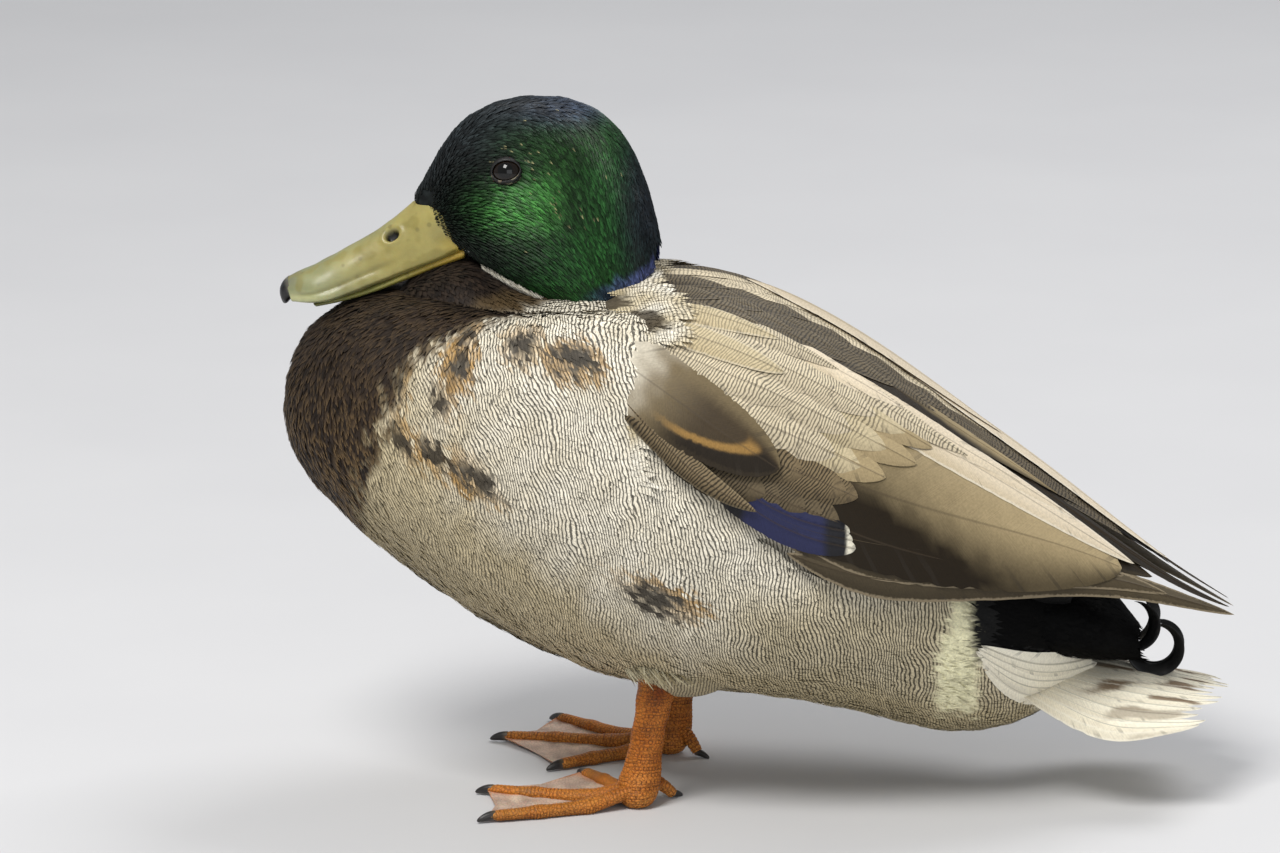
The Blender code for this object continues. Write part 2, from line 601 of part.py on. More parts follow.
def build_claw(name, root, aim, length, radius, finish="dark_horn"):
    """Curved horn tapering to a blunt tip, from its root along aim and down to the floor at most."""
    aim = np.asarray(aim, float) / np.linalg.norm(aim)
    across = np.array((-aim[1], aim[0], 0.0))
    across = across / np.linalg.norm(across)
    rings = []
    for step in range(CLAW_STEPS):
        share = step / (CLAW_STEPS - 1)
        middle = np.asarray(root, float) + aim * length * share
        middle[2] -= CLAW_DROOP * share ** 2
        thick = radius * (1.0 - CLAW_TAPER * share)
        turn = np.arange(CLAW_SIDES) * TAU / CLAW_SIDES
        lift = np.cross(across, aim)
        ring = middle + thick * (np.cos(turn)[:, None] * across + np.sin(turn)[:, None] * lift)
        ring[:, 2] = np.maximum(ring[:, 2], 0.0)
        rings.append(ring)
    loft(name, rings, finish)


def build_toes(side):
    """Claws of the three front toes, and the small raised hind toe with its claw."""
    centre = np.array(LEG_FOOT[side])
    for toe, tip in zip(("outer", "middle", "inner"), TOE_TIPS[side]):
        tip = np.array(tip)
        ahead = tip / np.linalg.norm(tip)
        root = centre + tip + ahead * CLAW_GAP
        build_claw("claw_" + toe + "_" + side, (root[0], root[1], CLAW_ROOT),
                   (ahead[0], ahead[1], CLAW_SLOPE), CLAW_LENGTH, CLAW_RADIUS)
    hind = np.array(HALLUX_TIP[side])
    ahead = hind / np.linalg.norm(hind)
    start = centre + ahead * (SOLE_RADIUS + GAP + HALLUX_RADIUS * HALLUX_LEAN)
    end = centre + hind
    span = float(np.linalg.norm(end - start))
    slope = (ahead[0] * span, ahead[1] * span, -HALLUX_FALL)
    build_claw("hallux_" + side, (start[0], start[1], HALLUX_ROOT), slope, math.hypot(span, HALLUX_FALL),
               HALLUX_RADIUS, "leg_skin")
    far = end + ahead * HIND_CLAW_SHIFT
    build_claw("claw_hind_" + side, (far[0], far[1], HIND_CLAW_ROOT), (ahead[0], ahead[1], HIND_CLAW_SLOPE),
               HIND_CLAW_LENGTH, HIND_CLAW_RADIUS)


for stale in list(bpy.data.objects):
    bpy.data.objects.remove(stale, do_unlink=True)

BIRD = bpy.data.collections.new("mallard_drake")
CUTTERS = bpy.data.collections.new("cutters")
bpy.context.scene.collection.children.link(BIRD)
bpy.context.scene.collection.children.link(CUTTERS)

trunk_solid = build_trunk()
head_solid = build_head()
build_neck(head_solid)
build_bill()
for side_name, side_sign in (("left", 1.0), ("right", -1.0)):
    build_eye(side_name, side_sign, head_solid)
    build_wing(side_name, side_sign, trunk_solid)
    build_leg(side_name, trunk_solid)
    build_foot(side_name)
    build_toes(side_name)
    build_curl("front", side_name, side_sign)
    build_curl("rear", side_name, side_sign)
build_mantle()
build_tail(trunk_solid)
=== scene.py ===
"""A still, life-size mallard drake, partly in eclipse plumage, standing with its head drawn in.

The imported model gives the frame, the one body and the nodes. This script dresses it: one skin
under a coat of mesh feathers, laid wing and tail feathers, bill, eyes, scaled legs, webs and
claws, in a plain studio. Shapes are worked out in millimetres and put into meshes in metres, in
the model's frame: +Z up, the bill toward -Y, the bird's left side toward +X.
"""

import logging
from collections.abc import Callable
from dataclasses import dataclass, field
from enum import Enum

import bpy
import numpy as np
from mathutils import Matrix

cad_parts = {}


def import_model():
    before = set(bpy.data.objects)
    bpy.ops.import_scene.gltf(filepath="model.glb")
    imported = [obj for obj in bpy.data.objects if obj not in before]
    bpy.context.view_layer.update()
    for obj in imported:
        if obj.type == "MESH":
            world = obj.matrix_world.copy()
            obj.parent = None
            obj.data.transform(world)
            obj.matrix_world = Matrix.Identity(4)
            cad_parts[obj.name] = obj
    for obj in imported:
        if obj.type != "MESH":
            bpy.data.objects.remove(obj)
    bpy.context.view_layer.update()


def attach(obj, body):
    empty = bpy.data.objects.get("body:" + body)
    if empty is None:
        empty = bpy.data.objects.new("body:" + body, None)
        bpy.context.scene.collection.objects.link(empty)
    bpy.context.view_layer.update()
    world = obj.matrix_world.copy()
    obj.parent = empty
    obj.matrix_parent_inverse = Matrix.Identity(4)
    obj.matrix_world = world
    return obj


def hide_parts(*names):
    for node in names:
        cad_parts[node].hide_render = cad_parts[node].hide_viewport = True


LOG = logging.getLogger("mallard")
Array = np.ndarray
Material = bpy.types.Material
Mesh = bpy.types.Mesh
Socket = bpy.types.NodeSocket
MM = 0.001
TAU = 2.0 * np.pi


# ---- plain maths -------------------------------------------------------------------------


def squared(wave: Array, fullness: Array | float) -> Array:
    """A sine or cosine raised to 2/fullness, drawn out toward a rounded square."""
    return np.sign(wave) * np.abs(wave) ** (2.0 / fullness)


def eased(low: float, high: float, value: Array) -> Array:
    """Zero below low, one above high, and 3s^2 - 2s^3 of the share s between them."""
    share = np.clip((value - low) / (high - low), 0.0, 1.0)
    return share * share * (3.0 - 2.0 * share)


def unit(vectors: Array) -> Array:
    """Vectors divided by their own lengths."""
    return vectors / np.maximum(np.linalg.norm(vectors, axis=-1, keepdims=True), 1e-9)


def around(count: int) -> Array:
    """Angles that share one full turn evenly."""
    return np.arange(count) * TAU / count


def side_word(side: float) -> str:
    """The word for a side in the pieces' names."""
    return "left" if side > 0 else "right"


def dense_spline(knots: tuple, values: tuple, samples: int = 481) -> tuple[Array, Array]:
    """Natural cubic spline read at even steps, so that later reads are linear look-ups.

    Args:
        knots: increasing places.
        values: a number or a row of numbers at each knot.
        samples: how many even steps the table has.

    Returns:
        The even places and the table, one column for each number.
    """
    knots = np.asarray(knots, float)
    values = np.asarray(values, float).reshape(len(knots), -1)
    step = np.diff(knots)
    slope = np.diff(values, axis=0) / step[:, None]
    count = len(knots)
    inner = np.arange(1, count - 1)
    system = np.eye(count)
    system[inner, inner - 1] = step[:-1]
    system[inner, inner] = 2.0 * (step[:-1] + step[1:])
    system[inner, inner + 1] = step[1:]
    right = np.zeros_like(values)
    right[1:-1] = 6.0 * np.diff(slope, axis=0)
    bend = np.linalg.solve(system, right)
    places = np.linspace(knots[0], knots[-1], samples)
    cell = np.clip(np.searchsorted(knots, places) - 1, 0, count - 2)
    width = step[cell][:, None]
    near = (places - knots[cell])[:, None]
    far = width - near
    cubic = (bend[cell] * far ** 3 + bend[cell + 1] * near ** 3) / (6.0 * width)
    cubic += (values[cell] / width - bend[cell] * width / 6.0) * far
    cubic += (values[cell + 1] / width - bend[cell + 1] * width / 6.0) * near
    return places, cubic


def ripple(points: Array, wavelength: float, seed: int, waves: int = 9) -> Array:
    """Smooth noise in about -1..1: a mean of plane sine waves in random directions.

    Args:
        points: places in millimetres, last axis 3.
        wavelength: usual distance between two crests.
        seed: seed of the directions and phases.
        waves: how many sine waves are summed.

    Returns:
        One number for each point.
    """
    draw = np.random.default_rng(seed)
    heading = unit(draw.normal(size=(waves, 3))) * (TAU / wavelength)
    heading *= draw.uniform(0.6, 1.5, size=(waves, 1))
    phase = draw.uniform(0.0, TAU, size=waves)
    return np.sin(points @ heading.T + phase).sum(axis=-1) / np.sqrt(waves) * 0.9


def linear(red: float, green: float, blue: float) -> Array:
    """Display values 0..255 as linear light 0..1."""
    level = np.array((red, green, blue)) / 255.0
    return np.where(level <= 0.04045, level / 12.92, ((level + 0.055) / 1.055) ** 2.4)


def blend(first: Array, second: Array, share: Array) -> Array:
    """Colours mixed by a share that has one axis fewer."""
    return first + (second - first) * np.asarray(share)[..., None]


class Shade(Enum):
    """Plumage and horn colours, as display values."""

    EMERALD = (58, 116, 50)
    DEEP_GREEN = (26, 54, 22)
    MOSS = (20, 38, 20)
    LEAF = (32, 74, 32)
    CROWN = (38, 42, 46)
    CROWN_SHEEN = (62, 74, 100)
    LORES = (16, 20, 18)
    NAPE = (20, 25, 34)
    VIOLET = (84, 92, 150)
    FLECK = (172, 164, 120)
    WHITE = (232, 228, 214)
    CHESTNUT = (50, 40, 32)
    CHESTNUT_DARK = (24, 19, 16)
    CHESTNUT_FRINGE = (150, 122, 82)
    OLIVE_BROWN = (86, 70, 46)
    SILVER = (220, 213, 196)
    OATMEAL = (186, 172, 140)
    BELLY = (152, 138, 106)
    CREAM = (236, 231, 192)
    SOOT = (9, 9, 9)
    SPOT = (36, 29, 22)
    RUST = (168, 130, 70)
    MANTLE = (104, 94, 76)
    MANTLE_DARK = (44, 36, 26)
    MANTLE_FRINGE = (186, 172, 148)
    TAN = (166, 148, 112)
    PALE_TAN = (216, 202, 178)
    UMBER = (96, 84, 64)
    UMBER_DARK = (34, 26, 14)
    SCAPULAR = (200, 187, 160)
    SCAPULAR_DARK = (116, 101, 76)
    SLATE = (84, 74, 56)
    SLATE_EDGE = (172, 156, 128)
    SPECULUM = (32, 35, 70)
    TAIL = (242, 236, 216)
    TAIL_MARK = (104, 80, 54)
    STRAW = (170, 156, 122)
    BAND_GAP = (92, 84, 58)
    BLOT = (52, 43, 30)
    SUMMER_ROOT = (214, 206, 188)
    SUMMER = (112, 98, 72)
    SUMMER_DARK = (56, 45, 31)
    SUMMER_RIM = (30, 24, 17)
    MIRROR_FRONT = (214, 208, 190)
    MIRROR_BLACK = (20, 18, 20)
    MIRROR_REAR = (18, 17, 22)
    MIRROR_WHITE = (226, 220, 200)
    BILL = (156, 145, 84)
    BILL_AHEAD = (138, 141, 102)
    BILL_GREY = (112, 112, 104)
    BILL_LIP = (180, 180, 132)
    BILL_RIDGE = (126, 128, 92)
    BILL_GAPE = (192, 166, 62)
    BILL_GROOVE = (104, 96, 44)
    BILL_MOTTLE = (128, 118, 58)
    # painted shade: near-black inside the nostrils' openings
    NOSTRIL_SHADE = (14, 12, 10)
    NAIL_ROOT = (96, 94, 84)
    NAIL = (22, 21, 22)
    JAW_ROOT = (176, 148, 60)
    JAW = (150, 148, 80)
    JAW_TIP = (112, 112, 64)
    LID = (22, 21, 20)
    LID_FLECK = (128, 120, 98)
    LEG = (162, 90, 22)
    # painted shade: the leg's top, under the belly, darker and redder
    LEG_SHADE_UNDER_BELLY = (134, 70, 14)
    TOE = (196, 128, 56)
    LEG_WARM = (192, 118, 46)
    FURROW = (112, 58, 18)
    WEB = (214, 188, 168)
    WEB_DARK = (190, 164, 148)
    WEB_EDGE = (206, 124, 62)
    WEB_ROOT = (196, 130, 84)
    CLAW_ROOT = (92, 78, 62)
    CLAW = (38, 34, 32)
    DOWN = (196, 188, 160)
    DOWN_DARK = (140, 128, 98)

    @property
    def light(self) -> Array:
        """The colour in linear light."""
        return linear(*self.value)


def layered(under: Array | Shade, *coats: tuple) -> Array:
    """A colour under coats laid over it in turn.

    Args:
        under: a shade, or linear colours.
        coats: pairs of a shade and its share.

    Returns:
        Linear colours.
    """
    tint = under.light if isinstance(under, Shade) else under
    for shade, share in coats:
        tint = blend(tint, shade.light, share)
    return tint


# ---- surfaces ----------------------------------------------------------------------------


class Surface:
    """A smooth patch of the bird's outline, read at two parameters, in millimetres."""

    nudge: tuple[float, float] = (1e-3, 0.2)

    def at(self, along: Array, across: Array) -> Array:
        """Points of the patch; every kind of patch has its own formula."""
        raise NotImplementedError

    def unwrapped(self, along: Array, across: Array) -> Array:
        """Places on the surface's own map: turn round the body against the way along it."""
        return np.stack((across / 360.0 + 0.5, along), axis=-1)

    def slopes(self, along: Array, across: Array) -> tuple[Array, Array, Array]:
        """Both tangents, by central differences, and the outward unit normal.

        Args:
            along: first parameter.
            across: second parameter.

        Returns:
            Change of place for each unit of along, for each unit of across, and the normal.
        """
        small, turn = self.nudge
        lengthwise = (self.at(along + small, across) - self.at(along - small, across)) / (2.0 * small)
        crosswise = (self.at(along, across + turn) - self.at(along, across - turn)) / (2.0 * turn)
        return lengthwise, crosswise, unit(np.cross(crosswise, lengthwise))


class FanSurface(Surface):
    """Sections spanned between a top and a base line in the mid-plane, as a lady's fan opens.

    A section's point at turn f is: across the bird, half width times reach; in the mid-plane,
    the middle of the span plus half the span times rise. Rise and reach are cos f and sin f
    raised to 2/fullness, and reach leans toward the base by the cheek share.
    """

    def __init__(self, knots: tuple, top: tuple, base: tuple, half_width: tuple, fullness: float,
                 cheek: float = 0.0, low_fullness: float | None = None) -> None:
        """Args: knots, lines and widths of the outline, and the squareness of its sections."""
        self.places, self.top = dense_spline(knots, top)
        self.base = dense_spline(knots, base)[1]
        self.half_width = dense_spline(knots, half_width)[1][:, 0]
        self.fullness = fullness
        self.low_fullness = low_fullness or fullness
        self.cheek = cheek

    def read(self, table: Array, along: Array) -> Array:
        """A column of a table at each place, past its ends in a straight line."""
        inside = np.interp(along, self.places, table)
        step = self.places[1] - self.places[0]
        before = np.minimum(along - self.places[0], 0.0) * (table[1] - table[0]) / step
        after = np.maximum(along - self.places[-1], 0.0) * (table[-1] - table[-2]) / step
        return inside + before + after

    def at(self, along: Array, across: Array) -> Array:
        """Points at a share along the body and a turn in degrees from the top."""
        along, across = np.broadcast_arrays(np.asarray(along, float), np.asarray(across, float))
        turn = np.radians(across)
        lower = eased(75.0, 125.0, np.abs(across))
        fullness = self.fullness + (self.low_fullness - self.fullness) * lower
        rise = squared(np.cos(turn), fullness)
        reach = squared(np.sin(turn), fullness) * (1.0 - self.cheek * np.cos(turn))
        wide = self.read(self.half_width, along) * reach
        fore = [self.read(self.top[:, axis], along) for axis in (0, 1)]
        aft = [self.read(self.base[:, axis], along) for axis in (0, 1)]
        line = [0.5 * (a + b) + 0.5 * (a - b) * rise for a, b in zip(fore, aft)]
        return np.stack((wide, *line), axis=-1)


class RoofSurface(Surface):
    """The folded wings' outer face over the back, at a place along Y and an angle from the ridge.

    A point at angle f is: half width times sin f, raised to 2/fullness, to the side; and the
    ridge height less the drop, plus the drop times cos f raised the same way.
    """

    nudge = (0.25, 0.25)
    ALONG = (-46.0, -20.0, 10.0, 40.0, 70.0, 100.0, 125.0, 148.0, 166.0)
    TOP = (181.0, 180.0, 170.5, 153.5, 132.5, 111.0, 92.0, 76.0, 66.0)
    HALF_WIDTH = (65.0, 72.5, 75.0, 72.0, 63.0, 49.0, 35.0, 21.0, 9.0)
    DROP = (64.0, 74.0, 76.0, 68.0, 52.0, 34.0, 18.0, 8.0, 4.0)
    FULLNESS = 2.15

    def __init__(self) -> None:
        """Reads the three outlines into tables."""
        self.places, self.top = dense_spline(self.ALONG, self.TOP)
        self.wide = dense_spline(self.ALONG, self.HALF_WIDTH)[1][:, 0]
        self.drop = dense_spline(self.ALONG, self.DROP)[1][:, 0]
        self.top = self.top[:, 0]

    def at(self, along: Array, across: Array) -> Array:
        """Points at a place along Y, in millimetres, and an angle in degrees."""
        along, across = np.broadcast_arrays(np.asarray(along, float), np.asarray(across, float))
        turn = np.radians(across)
        wide, drop, top = self.outline(along)
        side, rise = squared(np.sin(turn), self.FULLNESS), squared(np.cos(turn), self.FULLNESS)
        return np.stack((wide * side, along, top - drop + drop * rise), axis=-1)

    def outline(self, along: Array) -> list[Array]:
        """Half width, drop and height of the ridge at places along Y."""
        return [np.interp(along, self.places, table) for table in (self.wide, self.drop, self.top)]

    def unwrapped(self, along: Array, across: Array) -> Array:
        """Places on the wings' own map: angle from the ridge against the way along."""
        return np.stack((across / 190.0 + 0.5, (along + 50.0) / 220.0), axis=-1)

    def widest(self, along: Array) -> Array:
        """Height at which the roof is widest, at a place along Y."""
        return np.interp(along, self.places, self.top - self.drop)

    def depth(self, points: Array) -> Array:
        """How far points lie inside the roof, in millimetres; negative outside it."""
        across, along, level = np.moveaxis(points, -1, 0)
        wide, drop, top = self.outline(along)
        rise = (level - top + drop) / drop
        form = (np.abs(across) / wide) ** self.FULLNESS + np.maximum(rise, 0.0) ** self.FULLNESS
        inside = (1.0 - form ** (1.0 / self.FULLNESS)) * np.minimum(wide, drop)
        beyond = (along < self.places[0]) | (along > self.places[-1]) | (rise < 0.0)
        return np.where(beyond, -9.0, inside)


class TailSurface(Surface):
    """The spread tail: a vault whose height falls from its middle with the square of the side share."""

    nudge = (0.25, 0.01)
    ALONG = (84.0, 107.0, 124.0, 140.0, 156.0, 165.0)
    MIDDLE = (47.0, 46.0, 43.4, 40.0, 37.0, 35.4)
    EDGE_DROP = (3.0, 15.0, 16.4, 11.0, 5.5, 2.4)
    HALF_WIDTH = (31.0, 37.0, 40.0, 40.0, 36.0, 24.0)

    def __init__(self) -> None:
        """Reads the three outlines into tables."""
        self.places, middle = dense_spline(self.ALONG, self.MIDDLE)
        self.middle = middle[:, 0]
        self.fall = dense_spline(self.ALONG, self.EDGE_DROP)[1][:, 0]
        self.wide = dense_spline(self.ALONG, self.HALF_WIDTH)[1][:, 0]

    def at(self, along: Array, across: Array) -> Array:
        """Points at a place along Y and a share of the half width."""
        along, across = np.broadcast_arrays(np.asarray(along, float), np.asarray(across, float))
        tables = self.wide, self.middle, self.fall
        wide, middle, fall = (np.interp(along, self.places, table) for table in tables)
        return np.stack((wide * across, along, middle - fall * across ** 2), axis=-1)


TRUNK = FanSurface(
    (0, 0.07, 0.16, 0.28, 0.42, 0.56, 0.70, 0.84, 0.94, 1),
    ((-39.5, 168), (-27, 173), (-8, 172), (18, 161), (47, 141), (72, 119), (90, 100), (101, 84), (106, 74),
     (108, 64)),
    ((-104, 168), (-119, 173), (-147, 164.4), (-162.8, 139), (-155.5, 108), (-118, 73.5), (-57, 41),
     (18, 30.6), (76, 19.6), (101, 27)),
    (27, 38, 50, 61, 67.5, 69.5, 65.5, 52, 34, 20), 2.03, -0.05)
THROAT = FanSurface(
    (0, 0.08, 0.18, 0.30, 0.44, 0.58, 0.72, 0.87, 1),
    ((-128, 169), (-119, 176.5), (-109, 182), (-97, 183.4), (-84, 177.4), (-73, 174.2), (-60, 175),
     (-45, 175), (-33, 169.5)),
    ((-127, 162), (-119, 159), (-109, 157), (-97, 156), (-84, 156), (-73, 156), (-60, 156), (-45, 158),
     (-34, 162)),
    (10, 18, 24, 28.5, 31.5, 33.5, 33.5, 29, 17), 2.1)
HEAD = FanSurface(
    (0, 0.12, 0.26, 0.42, 0.58, 0.72, 0.84, 0.94, 1),
    ((-118.5, 203), (-113.2, 213.5), (-105, 226.5), (-91, 236.8), (-73, 239.8), (-57, 236), (-45, 224),
     (-37, 205), (-33.5, 191)),
    ((-101.5, 188), (-95, 183), (-86, 177), (-75, 171), (-64, 167.5), (-54, 166.5), (-45, 168.5), (-38, 173),
     (-34.5, 180)),
    (9.4, 13, 18, 22, 24.8, 25.6, 23.4, 17.5, 8), 2.15, 0.12, 2.7)
ROOF = RoofSurface()
TAIL = TailSurface()


# ---- meshes ------------------------------------------------------------------------------


def ring_faces(rings: int, sides: int) -> Array:
    """Faces of one closed lance: quads between rings, a fan to the tip and a fan over the root.

    Rings are numbered from the root, and the tip is the last point. A triangle repeats its last
    corner, so that every face has four.
    """
    edge = np.arange(sides) + (rings - 1) * sides
    after = (np.arange(sides) + 1) % sides + (rings - 1) * sides
    point = np.full(sides, rings * sides)
    fan = np.arange(1, sides - 1)
    return np.concatenate((grid_faces(rings, sides), np.stack((edge, after, point, point), axis=-1),
                           np.stack((np.zeros_like(fan), fan + 1, fan, fan), axis=-1)))


def grid_faces(rows: int, sides: int) -> Array:
    """Quads between rings of points, closed round each ring."""
    row, side = np.meshgrid(np.arange(rows - 1) * sides, np.arange(sides), indexing="ij")
    after = (side + 1) % sides
    ahead = row + sides
    return np.stack((row + side, row + after, ahead + after, ahead + side), axis=-1).reshape(-1, 4)


@dataclass
class Draft:
    """Points, faces and point values of one mesh in the making, in millimetres."""

    points: Array
    faces: Array
    tint: Array
    values: dict[str, Array] = field(default_factory=dict)
    vane: Array | None = None
    bake: Array | None = None
    edge: Array | None = None

    def mesh(self, name: str, crease: float) -> Mesh:
        """The finished mesh, in metres, smooth but for edges sharper than the crease angle.

        Args:
            name: the mesh's name.
            crease: degrees past which an edge stays sharp.

        Returns:
            A mesh with its colours, point values and UV maps.
        """
        made = bpy.data.meshes.new(name)
        short = self.faces[:, 2] == self.faces[:, 3]
        sizes = np.where(short, 3, 4)
        keep = np.ones(self.faces.shape, bool)
        keep[short, 3] = False
        corners = self.faces[keep].astype(np.int32)
        made.vertices.add(len(self.points))
        made.vertices.foreach_set("co", (self.points * MM).astype(np.float32).ravel())
        made.loops.add(len(corners))
        made.loops.foreach_set("vertex_index", corners)
        made.polygons.add(len(sizes))
        made.polygons.foreach_set("loop_start", (np.cumsum(sizes) - sizes).astype(np.int32))
        made.update(calc_edges=True)
        for key, tints in (("Tint", self.tint), ("RimTint", self.edge)):
            if tints is not None:
                full = np.concatenate((np.clip(tints, 0.0, 1.0), np.ones((len(tints), 1))), axis=1)
                colour = made.color_attributes.new(key, "FLOAT_COLOR", "POINT")
                colour.data.foreach_set("color", full.astype(np.float32).ravel())
        for key, numbers in self.values.items():
            made.attributes.new(key, "FLOAT", "POINT").data.foreach_set("value", numbers.astype(np.float32))
        for key, places in (("OFBake", self.bake), ("Vane", self.vane)):
            if places is not None:
                layer = made.uv_layers.new(name=key)
                layer.uv.foreach_set("vector", places[corners].astype(np.float32).ravel())
        made.shade_smooth()
        made.set_sharp_from_angle(angle=np.radians(crease))
        made.validate()
        return made


def join(drafts: list[Draft]) -> Draft:
    """Several plain drafts as one, with their points, faces, tints and vane places."""
    offsets = np.cumsum([0] + [len(draft.points) for draft in drafts[:-1]])
    return Draft(
        np.concatenate([draft.points for draft in drafts]),
        np.concatenate([draft.faces + offset for draft, offset in zip(drafts, offsets)]),
        np.concatenate([draft.tint for draft in drafts]), {},
        np.concatenate([draft.vane for draft in drafts]))


def outward(draft: Draft) -> Draft:
    """Turns every face round where the closed shape's volume comes out negative."""
    corner = draft.points[draft.faces]
    first = np.einsum("ij,ij->i", corner[:, 0], np.cross(corner[:, 1], corner[:, 2])).sum()
    second = np.einsum("ij,ij->i", corner[:, 0], np.cross(corner[:, 2], corner[:, 3])).sum()
    if first + second < 0.0:
        short = draft.faces[:, 2] == draft.faces[:, 3]
        turned = draft.faces[:, (0, 3, 2, 1)]
        turned[short] = draft.faces[short][:, (0, 2, 1, 1)]
        draft.faces = turned
    return draft


def tube(rings: Array, tint: Array, values: dict[str, Array] | None = None) -> Draft:
    """A closed skin over equal rings of points, each end drawn together in its own middle point.

    Args:
        rings: points, ring by ring, anticlockwise as seen from the last ring.
        tint: a colour for every point, in the same layout.
        values: point values, in the same layout.

    Returns:
        The closed draft.
    """
    rows, sides = rings.shape[:2]
    edge = np.arange(sides)
    after = (edge + 1) % sides
    first = np.full(sides, rows * sides)
    far = (rows - 1) * sides
    faces = np.concatenate((grid_faces(rows, sides), np.stack((after, edge, first, first), axis=-1),
                            np.stack((far + edge, far + after, first + 1, first + 1), axis=-1)))

    def ended(table: Array) -> Array:
        """A table laid out point by point, with the first and last ring's means after it."""
        ends = np.stack((table[0].mean(axis=0), table[-1].mean(axis=0)))
        return np.concatenate((table.reshape(rows * sides, *table.shape[2:]), ends))

    held = {key: ended(number) for key, number in (values or {}).items()}
    laid = np.stack(np.meshgrid(np.linspace(0, 1, rows), np.linspace(0, 1, sides), indexing="ij"), axis=-1)
    vane = np.concatenate((laid.reshape(-1, 2), ((0.0, 0.5), (1.0, 0.5))))
    return outward(Draft(ended(rings), faces, ended(tint), held, vane))


# ---- finishes ----------------------------------------------------------------------------


class Bench:
    """One material's node tree while it is being wired."""

    def __init__(self, name: str, **constants: float | tuple) -> None:
        """Starts a Principled material and sets its plain sockets, whose names use _ for a space."""
        self.material = bpy.data.materials.new(name)
        self.material.use_nodes = True
        self.tree = self.material.node_tree
        self.shader = self.tree.nodes["Principled BSDF"]
        for key, value in constants.items():
            self.shader.inputs[key.replace("_", " ")].default_value = value

    def add(self, kind: str, inputs: dict | None = None, **settings: object) -> bpy.types.Node:
        """Adds a node.

        Args:
            kind: the node's type without the ShaderNode prefix.
            inputs: values or other nodes' sockets, by the input's name or number.
            settings: the node's own properties.

        Returns:
            The new node.
        """
        node = self.tree.nodes.new("ShaderNode" + kind)
        for key, value in settings.items():
            setattr(node, key, value)
        for key, value in (inputs or {}).items():
            if isinstance(value, Socket):
                self.tree.links.new(value, node.inputs[key])
            else:
                node.inputs[key].default_value = value
        return node

    def places(self) -> Socket:
        """The piece's own object coordinates, in metres."""
        return self.add("TexCoord").outputs["Object"]

    def number(self, name: str) -> Socket:
        """A point value of the mesh."""
        return self.add("Attribute", attribute_name=name).outputs["Fac"]

    def colour(self, name: str) -> Socket:
        """A point colour of the mesh."""
        return self.add("Attribute", attribute_name=name).outputs["Color"]

    def maths(self, operation: str, first: object, second: object = 0.0) -> Socket:
        """One sum of two numbers."""
        return self.add("Math", {0: first, 1: second}, operation=operation).outputs[0]

    def stretch(self, value: object, low: float, high: float, start: float = 0.0,
                end: float = 1.0) -> Socket:
        """A number taken smoothly from low..high to start..end."""
        return self.add("MapRange", {0: value, 1: low, 2: high, 3: start, 4: end},
                        interpolation_type="SMOOTHSTEP").outputs[0]

    def mix(self, share: object, first: object, second: object, way: str = "MIX") -> Socket:
        """Two colours mixed."""
        return self.add("Mix", {0: share, 6: first, 7: second}, data_type="RGBA", blend_type=way).outputs[2]

    def noise(self, scale: float, detail: float = 2.0, where: object = None) -> Socket:
        """Noise on object coordinates, about 0.5, with scale in waves for each metre."""
        return self.add("TexNoise", {"Vector": where or self.places(), "Scale": scale, "Detail": detail}
                        ).outputs["Fac"]

    def strands(self, place: object, pace: float, detail: float) -> Socket:
        """Noise along one line, about 0.5, with pace in waves for each unit of place."""
        waves = self.maths("MULTIPLY", place, pace)
        return self.add("TexNoise", {"W": waves, "Scale": 1.0, "Detail": detail},
                        noise_dimensions="1D").outputs["Fac"]

    def grey(self, value: object) -> Socket:
        """A number as a grey colour, for multiplying."""
        return self.add("CombineColor", {0: value, 1: value, 2: value}).outputs[0]

    def shaded(self, colour: object, tone: object) -> Socket:
        """A colour times a number."""
        return self.mix(1.0, colour, self.grey(tone), "MULTIPLY")

    def finish(self, colour: object, height: object = None, depth: float = 0.0, strength: float = 0.5,
               rough: object = None) -> Material:
        """Joins the last sockets to the shader.

        Args:
            colour: base colour socket.
            height: bump height, 0..1.
            depth: bump depth in metres.
            strength: bump strength.
            rough: roughness socket, where it varies.

        Returns:
            The material.
        """
        self.tree.links.new(colour, self.shader.inputs["Base Color"])
        if height is not None:
            bump = self.add("Bump", {"Height": height, "Distance": depth, "Strength": strength})
            self.tree.links.new(bump.outputs[0], self.shader.inputs["Normal"])
        if rough is not None:
            self.tree.links.new(rough, self.shader.inputs["Roughness"])
        return self.material


